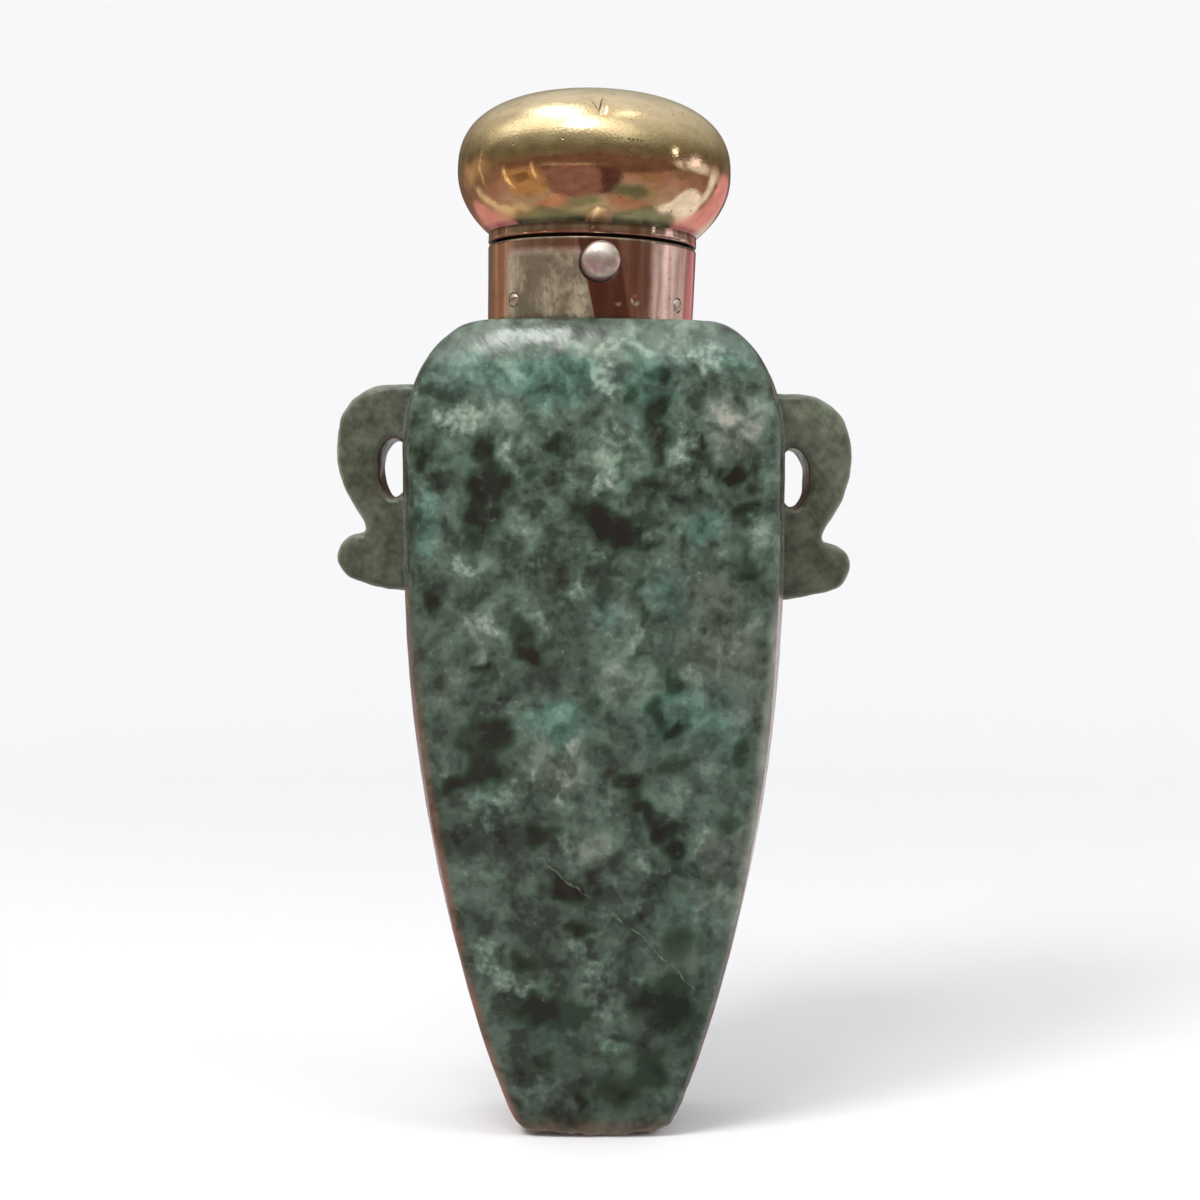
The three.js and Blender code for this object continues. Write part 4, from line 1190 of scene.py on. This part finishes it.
def moss_agate():
    """Mottled green stone under a polish: dark moss, teal and mauve clouds, cream flecks and fine cracks."""
    s = Shader("moss_agate")
    place = s.place()
    height = s.axis(place, "Z")
    warped = s.warped(place, 3.0, 2, 0.5, (2.6, 2.6, 2.6))
    clouds = s.swing(warped, 6.5, 3)
    puffs = s.swing(warped, 2.0, 3)
    grain = s.swing(place, 0.6, 2)
    moss = s.rise(s.add(s.field("dark"), s.times(puffs, 1.5), s.times(grain, 0.45)), 0.1, 1.15)
    cream = s.rise(s.add(s.field("pale"), s.times(puffs, 1.1), s.times(grain, 0.6)), 0.1, 0.9)
    upper = s.rise(height, 46.0, 60.0)
    # Painted shade: the stone is made a little darker towards its foot.
    low = s.fall(height, 2.0, 20.0)
    fine = s.times(grain, s.add(0.3, s.times(cream, 0.4)))
    puffed = s.times(puffs, s.add(1.05, s.times(cream, -0.5)))
    tone = s.add(s.times(clouds, 0.95), puffed, fine, s.times(cream, 0.24))
    # The shoulder is made lighter: partly the stone's paler shoulder, partly painted light falling from
    # above.
    shoulder = s.rise(height, 60.0, 72.0)
    tone = s.add(0.45, s.times(tone, s.add(1.0, s.times(upper, 0.25))), s.times(shoulder, 0.14))
    tone = s.add(tone, s.times(moss, -0.48), s.times(low, -0.06))
    tone = s.add(tone, s.times(s.field("teal"), 0.15), s.times(s.field("mauve"), 0.19))
    colour = s.ramp(tone, STONE_TONES)
    edge = s.times(moss, s.math("SUBTRACT", 1.0, moss), 2.4)
    colour = s.mix(edge, colour, s.tinted(colour, (0.78, 1.06, 0.84)))
    teal = s.times(s.rise(s.add(s.field("teal"), s.times(clouds, 0.8)), 0.1, 0.9), 0.8)
    colour = s.mix(teal, colour, s.tinted(colour, (0.72, 1.03, 1.07)))
    mauve = s.times(s.rise(s.add(s.field("mauve"), s.times(puffs, 0.7)), 0.1, 0.9), 0.8)
    colour = s.mix(mauve, colour, s.tinted(colour, (1.14, 0.93, 0.97)))
    handle = s.field("handle")
    on_right = s.rise(s.axis(place, "X"), -2.0, 2.0)
    light = s.add(puffs, s.times(grain, 0.7), s.times(on_right, 0.1))
    olive = s.mix(s.rise(light, -0.42, 0.46), srgb(64, 66, 50), srgb(122, 124, 102))
    colour = s.mix(s.times(handle, 0.85), colour, olive)
    # Painted reddish reflection on the left flank, with the reddening at the foot and in the handles' holes.
    red_reflection_and_reddening = s.times(s.field("red_reflection_and_reddening"), s.rise(s.add(0.62, s.times(puffs, 1.4)), 0.2, 0.75))
    colour = s.mix(s.times(red_reflection_and_reddening, 0.8), colour, srgb(150, 100, 84))
    # Painted pale reflection on the right flank, and the handles' worn pale rims.
    pale_reflection_and_wear = s.times(s.field("pale_reflection_and_wear"), s.rise(s.add(0.6, s.times(clouds, 0.6), puffs), -0.1, 0.9))
    colour = s.mix(s.times(pale_reflection_and_wear, 0.7), colour, srgb(190, 192, 180))
    wobbled = s.warped(place, 1.8, 3, 0.6, (0.9, 0.0, 0.9))
    lines = [s.line(wobbled, *crack) for crack in STONE_CRACKS]
    cracks = s.math("MAXIMUM", s.math("MAXIMUM", lines[0], lines[1]), lines[2])
    colour = s.mix(s.times(cracks, s.rise(grain, -0.2, 0.2), 0.5), colour, srgb(150, 160, 142))
    # Painted glints: sparse pale specks mixed into the colour.
    from_speck, speck = s.cells(place, 3.0)
    glints = s.times(s.rise(from_speck, 0.035, 0.015), s.rise(s.axis(speck, "Y"), 0.8, 0.9))
    colour = s.mix(s.times(glints, 0.5), colour, srgb(190, 200, 188))
    colour = s.tinted(colour, STONE_GAIN)
    near_shoulder = s.rise(height, 68.0, 73.0)
    slant = s.scaled(s.node("CombineXYZ", {0: height, 1: 0.0, 2: 0.0}).outputs[0], (0.6, 0.0, 0.0))
    slanted = s.scaled(s.vector("ADD", place, slant), (1.0, 1.0, 0.35))
    unevenness = s.add(0.04, s.times(near_shoulder, 0.42), s.times(handle, 1.4))
    coarse = s.times(s.noise(slanted, 1.0, 2, 0.5), unevenness)
    from_spot = s.vector("LENGTH", s.scaled(s.vector("SUBTRACT", place, POLISHED_SPOT), (0.16, 0.0, 0.3)))
    dull = s.times(near_shoulder, s.rise(from_spot, 0.4, 1.2), 0.14)
    s.surface(
        Base_Color=colour,
        Roughness=s.add(0.2, s.times(s.rise(grain, -0.2, 0.3), 0.08), s.times(handle, 0.12), dull),
        IOR=STONE_IOR,
        Normal=s.bump(coarse, 0.1),
    )
    return s.material


# The painted shadow of the button, a dark wedge on the collar below it: where its edges stand at the collar's
# foot and how they lean, in millimetres.
SHADOW_EDGE_FOOT = 75.5
SHADE_LEFT = (0.1, -0.204)
SHADE_RIGHT = (3.5, -0.16)
PATINA_LEFT = -8.0
PATINA_TOP = 82.0

# Dark lines on the lid's crown: the arms of its V-shaped nick, and a pitted line to the right of it. Each has
# its start and end as (x, z), and its width.
NICK_ARMS = (((-0.3, 95.3), (0.4, 94.1), 0.08), ((0.8, 95.6), (0.4, 93.8), 0.12))
PITTED_LINE = ((2.0, 91.55), (4.8, 91.35), 0.16)


def gilt():
    """Gold worn thin and tarnished: warm yellow where it is rubbed, coppery and olive-grey where it isn't,
    with painted shade in the lid's crease and the collar's seam, and the button's painted shadow with a
    painted highlight line on the collar.
    """
    s = Shader("gilt")
    place = s.place()
    film = s.noise(place, 4.0, 4, 0.6)
    spots = s.noise(place, 0.8, 3, 0.6)
    fine = s.noise(place, 0.25, 2, 0.5)
    across = s.axis(place, "X")
    height = s.add(s.axis(place, "Z"), s.times(across, math.sin(FITTING_LEAN)))
    rough = s.times(s.math("SUBTRACT", spots, 0.5), 1.2)
    on_collar = s.fall(height, 83.0, 83.2)
    on_lid = s.rise(height, 84.5, 85.0)
    on_band = s.math("SUBTRACT", 1.0, on_lid)
    front = s.fall(s.axis(place, "Y"), -5.0, -2.0)
    gold = s.mix(s.rise(film, 0.35, 0.7), (0.88, 0.71, 0.44), (0.76, 0.57, 0.33))
    gold = s.mix(s.times(s.rise(spots, 0.6, 0.78), 0.5), gold, (0.46, 0.3, 0.17))
    from_pit, pit = s.cells(place, 0.9)
    pits = s.times(s.rise(from_pit, 0.14, 0.06), s.rise(s.axis(pit, "X"), 0.5, 0.65))
    gold = s.mix(s.times(pits, 0.7), gold, (0.2, 0.14, 0.08))
    tarnish = s.times(s.rise(s.noise(s.scaled(place, (0.7, 1.0, 1.5)), 1.3, 4, 0.7), 0.5, 0.72), 0.45)
    gold = s.mix(tarnish, gold, (0.52, 0.4, 0.2))
    nick = s.math("MAXIMUM", *[s.line(place, *arm) for arm in NICK_ARMS])
    nick = s.times(nick, s.rise(fine, 0.35, 0.5))
    pitted = s.times(s.line(place, *PITTED_LINE), s.rise(fine, 0.5, 0.56))
    gold = s.mix(s.math("MAXIMUM", nick, s.times(pitted, 0.8)), gold, (0.1, 0.07, 0.045))
    crease = FITTING_FOOT + LID_FOOT + LID_BAND_HEIGHT
    # Painted shade in the crease at the top of the lid's foot band, under its swell.
    crease_shade = s.times(
        s.rise(s.add(height, s.times(rough, 0.15)), crease - 0.4, crease - 0.1),
        s.fall(height, crease + 0.1, crease + 0.6),
    )
    under_swell = s.times(on_lid, s.fall(height, crease + 0.5, crease + 2.2))
    streak = s.noise(s.scaled(place, (1.0, 1.0, 0.05)), 1.5, 3, 0.6)
    brown = s.mix(s.rise(streak, 0.38, 0.62), (0.58, 0.38, 0.28), (0.86, 0.68, 0.58))
    brown = s.mix(s.times(s.rise(film, 0.5, 0.7), 0.5), brown, (0.4, 0.25, 0.17))
    rise = s.add(height, -SHADOW_EDGE_FOOT)
    left = s.add(across, -SHADE_LEFT[0], s.times(rise, -SHADE_LEFT[1]))
    right = s.add(across, -SHADE_RIGHT[0], s.times(rise, -SHADE_RIGHT[1]))
    roughened = s.add(height, s.times(rough, 0.3))
    below_seam = s.fall(roughened, PATINA_TOP - 0.7, PATINA_TOP + 0.5)
    patina = s.times(
        s.rise(s.add(across, s.times(rough, 0.5)), PATINA_LEFT - 0.6, PATINA_LEFT + 0.9),
        s.fall(left, -0.12, 0.12),
        below_seam,
        front,
    )
    # Painted shadow of the button: a dark wedge on the collar below it.
    shade = s.times(s.rise(left, -0.12, 0.12), s.fall(right, -0.12, 0.12), on_collar, front)
    # Painted highlight: a thin light line along the shadow's right edge.
    painted_highlight_line = s.times(s.rise(right, -0.3, -0.08), s.fall(right, 0.02, 0.2), on_collar, front)
    brown = s.mix(s.times(shade, 0.75), brown, (0.3, 0.14, 0.1))
    brown = s.mix(s.times(painted_highlight_line, 0.5), brown, (0.8, 0.6, 0.45))
    bright = s.rise(s.noise(s.scaled(place, (1.0, 1.0, 0.5)), 2.4, 4, 0.65), 0.42, 0.68)
    olive = s.mix(bright, (0.15, 0.12, 0.08), (0.4, 0.34, 0.24))
    olive = s.mix(s.times(s.rise(spots, 0.48, 0.7), 0.7), olive, (0.12, 0.085, 0.05))
    colour = s.mix(on_band, gold, s.mix(patina, brown, olive))
    colour = s.mix(s.times(crease_shade, 0.7), colour, (0.2, 0.13, 0.085))
    # Darker where the collar's foot meets the stone.
    dark_foot_and_seam_shade = s.fall(s.add(height, s.times(rough, -0.8)), 75.7, 76.3)
    seam = FITTING_FOOT + COLLAR_HEIGHT
    # Painted shade in the seam between the collar and the lid.
    seam_shade = s.times(
        s.rise(height, seam - 0.18, seam - 0.04),
        s.fall(height, seam + 0.3, seam + 0.4),
    )
    dark_foot_and_seam_shade = s.math("MAXIMUM", dark_foot_and_seam_shade, seam_shade)
    colour = s.mix(s.times(dark_foot_and_seam_shade, 0.8), colour, (0.07, 0.06, 0.04))
    scratches = s.noise(s.scaled(place, (0.35, 0.35, 6.0)), 1.1, 3, 0.65)
    on_crown = s.rise(height, 90.0, 93.0)
    roughness = s.add(0.06, s.times(s.rise(film, 0.4, 0.75), 0.05), s.times(on_crown, 0.12))
    roughness = s.add(roughness, s.times(patina, 0.34), s.times(on_collar, 0.08), s.times(dark_foot_and_seam_shade, 0.3))
    roughness = s.add(roughness, s.times(under_swell, 0.16))
    grained = s.times(fine, s.add(0.25, s.times(on_crown, 1.4)))
    relief = s.add(s.times(scratches, 0.4), grained, s.times(pits, -1.4), s.times(film, 3.0))
    s.surface(
        Base_Color=colour,
        Metallic=s.add(1.0, s.times(patina, -0.55)),
        Roughness=roughness,
        Normal=s.bump(relief, 0.01),
    )
    return s.material


def silver():
    """Worn silver, a little pink where the gilding has gone."""
    s = Shader("silver")
    place = s.place()
    film = s.noise(place, 1.4, 4, 0.6)
    fine = s.noise(place, 0.25, 3, 0.6)
    colour = s.mix(s.rise(film, 0.35, 0.7), (0.9, 0.84, 0.81), (0.66, 0.53, 0.48))
    s.surface(
        Base_Color=colour,
        Metallic=0.88,
        Roughness=s.add(0.22, s.times(film, 0.14)),
        Normal=s.bump(fine, 0.01),
    )
    return s.material


def dress(piece, material, body, node):
    piece.data.materials.clear()
    piece.data.materials.append(material)
    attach(piece, body)
    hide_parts(node)


AGATE = moss_agate()
GILT = gilt()
SILVER = silver()

dress(paint_stone(stone_with_handles()), AGATE, "bottle_body", "bottle")
dress(collar(), GILT, "bottle_body", "collar")
dress(lid(), GILT, "lid_body", "lid")
dress(hinge_pin(), SILVER, "bottle_body", "hinge_pin")
dress(push_button(), SILVER, "button_body", "push_button")
for screw_name, screw_angle in SCREW_ANGLES.items():
    made_screw = screw(screw_name, screw_angle, SCREW_SLOT_TURNS[screw_name])
    dress(made_screw, SILVER, "bottle_body", screw_name)


# Stage

ROOM_RADIUS = 520.0
ROOM_CORNER = 220.0
ROOM_HEIGHT = 900.0
ROOM_SEGMENTS = 96
# The room's own faint light: none up to the first distance from the middle, in full from the second on.
ROOM_GLOW_FROM = 60.0
ROOM_GLOW_TO = 330.0
ROOM_GLOW = (0.125, 0.125, 0.125)


def studio():
    """A round pale studio: the floor curves up into its wall."""
    bend = [
        (ROOM_RADIUS - ROOM_CORNER + ROOM_CORNER * math.sin(a), ROOM_CORNER * (1 - math.cos(a)))
        for a in np.linspace(0, math.pi / 2, 17)
    ]
    profile = [(20.0, 0.0), (120.0, 0.0), *bend, (ROOM_RADIUS, ROOM_HEIGHT)]
    rings = np.array([circle(radius, height, ROOM_SEGMENTS) for radius, height in profile])
    points = np.concatenate([rings.reshape(-1, 3), [[0, 0, 0]]])
    faces = [(i, (i + 1) % ROOM_SEGMENTS, len(points) - 1) for i in range(ROOM_SEGMENTS)]
    for row in range(len(profile) - 1):
        for i in range(ROOM_SEGMENTS):
            j = (i + 1) % ROOM_SEGMENTS
            low, high = row * ROOM_SEGMENTS, (row + 1) * ROOM_SEGMENTS
            faces.append((low + i, high + i, high + j, low + j))
    piece = new_object("studio", points, faces)
    piece.data.shade_smooth()
    s = Shader("studio")
    from_middle = s.vector("LENGTH", s.scaled(s.place(), (1.0, 1.0, 0.0)))
    glow = s.mix(s.rise(from_middle, ROOM_GLOW_FROM, ROOM_GLOW_TO), (0.0, 0.0, 0.0), ROOM_GLOW)
    s.surface(
        Base_Color=srgb(230, 230, 231),
        Roughness=0.9,
        Specular_IOR_Level=0.1,
        Emission_Color=glow,
        Emission_Strength=1.0,
    )
    s.material.cycles.emission_sampling = "NONE"
    piece.data.materials.append(s.material)
    piece.visible_glossy = False


# What the polish reflects: a sphere of soft light round the fitting. A patch on it is (azimuth, elevation,
# half-width, half-height, softness, light), in degrees as seen from the middle of the fitting; azimuth 0 is
# the front and 90 the right.
AROUND_CENTRE = np.array([0.0, 0.0, 80.0])
AROUND_RADIUS = 400.0
AROUND_SEGMENTS = 320
AROUND_ROWS = 160
AROUND_HEIGHTS = (-1.0, -0.8, -0.4, 0.0, 0.24, 0.56, 0.8, 1.0)
AROUND_LIGHTS = (
    (0.5, 0.5, 0.42), (0.42, 0.34, 0.28), (0.36, 0.2, 0.18), (0.2, 0.12, 0.09),
    (0.15, 0.13, 0.09), (0.5, 0.5, 0.44), (0.72, 0.73, 0.72), (0.8, 0.8, 0.82),
)
AROUND_PATCHES = (
    # overhead: the main lights and the glow round them
    (-30, 55, 44, 15, 1.2, (1.7, 1.65, 1.5)),
    (-75, 71, 15, 10, 0.8, (3.4, 3.3, 3.0)),
    (-32, 63, 13, 6, 0.8, (2.6, 2.5, 2.3)),
    (-14, 56, 8, 5, 0.8, (2.2, 2.1, 2.0)),
    (59, 70, 9, 4, 1.0, (2.2, 2.1, 1.9)),
    (5, 46, 4, 3, 1.0, (3.0, 3.0, 2.8)),
    # the horizon, from left to right
    (-118, 4, 20, 7, 0.9, (0.38, 0.25, 0.17)),
    (-109, 1, 1.0, 13, 1.0, (0.75, 0.6, 0.4)),
    (0, -8, 84, 16, 0.3, (0.17, 0.09, 0.07)),
    (90, 3, 19, 4.5, 0.9, (0.74, 0.67, 0.7)),
    (121, 3, 9, 5, 0.9, (0.5, 0.36, 0.33)),
    (81, 2, 2.0, 6, 1.0, (0.4, 0.3, 0.3)),
    (69, 13, 2.2, 1.8, 1.0, (3.5, 3.2, 3.0)),
    (93, 7, 5, 4, 1.0, (1.2, 1.0, 1.15)),
    # below it in front
    (-66, -25, 17, 18, 0.6, (0.44, 0.25, 0.13)),
    (-66, -18, 7, 6, 0.6, (0.22, 0.12, 0.06)),
    (-80, -16, 1.3, 11, 1.0, (1.3, 0.95, 0.6)),
    (-53, -14, 1.2, 10, 1.0, (1.2, 0.85, 0.55)),
    (-19, -33, 22, 26, 0.12, (0.255, 0.13, 0.125)),
    (-19, -8, 22, 0.9, 1.0, (0.6, 0.42, 0.35)),
    (14, -33, 8, 22, 0.6, (0.1, 0.045, 0.05)),
    (40, -46, 14, 10, 0.8, (0.15, 0.155, 0.11)),
    (50, -22, 9, 5, 0.5, (0.34, 0.2, 0.12)),
    (-30, -64, 16, 7, 0.7, (0.23, 0.23, 0.17)),
    (-64, -57, 14, 6, 0.8, (0.5, 0.25, 0.2)),
    (52, -62, 18, 8, 0.8, (0.38, 0.2, 0.16)),
    # below it at the sides
    (-146, -30, 15, 19, 0.25, (0.7, 0.33, 0.39)),
    (-122, -17, 4, 8, 0.8, (0.62, 0.5, 0.4)),
    (-120, -29, 5, 7, 0.8, (0.75, 0.6, 0.45)),
    (-116, -39, 6, 6, 0.8, (0.8, 0.62, 0.46)),
    (-108, -47, 9, 5, 0.8, (0.85, 0.66, 0.48)),
    (144, -18, 17, 26, 0.25, (0.72, 0.34, 0.4)),
    (176, -13, 18, 12, 0.5, (0.85, 0.85, 0.83)),
    (118, -10, 5, 13, 0.8, (0.84, 0.8, 0.88)),
    (108, -38, 15, 17, 0.25, (0.9, 0.86, 0.97)),
)


def towards(azimuth, elevation):
    a, e = math.radians(azimuth), math.radians(elevation)
    return np.array([math.sin(a) * math.cos(e), -math.cos(a) * math.cos(e), math.sin(e)])


def surroundings(directions):
    """The light that comes from each direction."""
    drift = np.stack([ripple(directions, (0.25, 0.25, 0.25), seed) for seed in (61, 62, 63)], axis=1)
    warped = directions + drift * 0.03
    warped /= np.linalg.norm(warped, axis=1)[:, None]
    up_share = warped[:, 2]
    channels = [np.interp(up_share, AROUND_HEIGHTS, channel) for channel in zip(*AROUND_LIGHTS)]
    light = np.stack(channels, axis=1)
    for azimuth, elevation, half_width, half_height, softness, colour in AROUND_PATCHES:
        centre = towards(azimuth, elevation)
        right, up = towards(azimuth + 90, 0), towards(azimuth, elevation + 90)
        ahead = warped @ centre
        u = np.degrees(np.arctan2(warped @ right, np.maximum(ahead, 1e-6))) / half_width
        v = np.degrees(np.arctan2(warped @ up, np.maximum(ahead, 1e-6))) / half_height
        off = (u**4 + v**4) ** 0.25
        inside = (1 - step_up(1 - softness / 2, 1 + softness / 2, off)) * (ahead > 0)
        light += (np.array(colour) - light) * inside[:, None]
    mottling = 1 + 0.16 * ripple(directions, (0.12, 0.12, 0.12), 64)
    return light * mottling[:, None]


def around():
    angles = np.linspace(-math.pi / 2, math.pi / 2, AROUND_ROWS + 1)[1:-1]
    rings = [circle(math.cos(e), math.sin(e), AROUND_SEGMENTS) for e in angles]
    directions = np.concatenate([*rings, [[0, 0, -1]], [[0, 0, 1]]])
    rings = [ring * AROUND_RADIUS + AROUND_CENTRE for ring in rings]
    low, high = (AROUND_CENTRE + (0, 0, sign * AROUND_RADIUS) for sign in (-1, 1))
    piece = stacked("around", rings, low, high)
    painted = np.ones((len(directions), 4), np.float32)
    painted[:, :3] = surroundings(directions)
    attribute = piece.data.attributes.new("light", "FLOAT_COLOR", "POINT")
    attribute.data.foreach_set("color", painted.ravel())
    s = Shader("around")
    field = s.node("Attribute", {}, attribute_name="light")
    glow = s.node("Emission", {"Color": field.outputs["Color"]})
    s.tree.links.new(glow.outputs[0], s.tree.nodes["Material Output"].inputs[0])
    s.material.cycles.emission_sampling = "NONE"
    piece.data.materials.append(s.material)
    for kind in ("camera", "diffuse", "shadow", "transmission", "volume_scatter"):
        setattr(piece, "visible_" + kind, False)


SKY_COLOUR = (0.96, 0.98, 1, 1)
SKY_STRENGTH = 0.8

# The lamps: place and aim in millimetres, width in millimetres, power in watts, colour, and whether gloss
# shows them. The window gives the bright spot on the stone's shoulder.
LAMPS = (
    ("key", (-160, -190, 300), (0, 0, 65), 120, 0.9, (1.0, 0.98, 0.95), False),
    ("window", (-36, -158, 268), (0, 0, 78), 56, 0.13, (1.0, 1.0, 0.98), True),
    ("fill", (280, -160, 200), (0, 0, 50), 200, 0.45, (1.0, 0.98, 0.96), False),
)

CAMERA_PLACE = (0.156, -206.25, 56.06)
CAMERA_DIP = 1.7073
CAMERA_TURN = 0.1152
CAMERA_LENS = 64.736
CAMERA_RANGE = (0.01, 20)


def world():
    made = bpy.data.worlds.new("pale")
    made.use_nodes = True
    background = made.node_tree.nodes["Background"]
    background.inputs["Color"].default_value = SKY_COLOUR
    background.inputs["Strength"].default_value = SKY_STRENGTH
    bpy.context.scene.world = made


def lamp(name, place, aim, size, power, colour, in_gloss):
    light = bpy.data.lights.new(name, "AREA")
    light.shape = "DISK"
    light.size = size * MM
    light.energy = power
    light.color = colour
    made = bpy.data.objects.new(name, light)
    made.location = Vector(place) * MM
    direction = (Vector(aim) - Vector(place)).normalized()
    made.rotation_euler = direction.to_track_quat("-Z", "Y").to_euler()
    made.visible_glossy = in_gloss
    made.visible_camera = False
    bpy.context.scene.collection.objects.link(made)


def camera():
    lens = bpy.data.cameras.new("camera")
    lens.lens = CAMERA_LENS
    lens.clip_start, lens.clip_end = CAMERA_RANGE
    made = bpy.data.objects.new("camera", lens)
    made.location = Vector(CAMERA_PLACE) * MM
    made.rotation_euler = (math.radians(90 - CAMERA_DIP), 0, -math.radians(CAMERA_TURN))
    bpy.context.scene.collection.objects.link(made)
    bpy.context.scene.camera = made


studio()
world()
around()
for lamp_values in LAMPS:
    lamp(*lamp_values)
camera()
bpy.context.scene.view_settings.view_transform = "Standard"
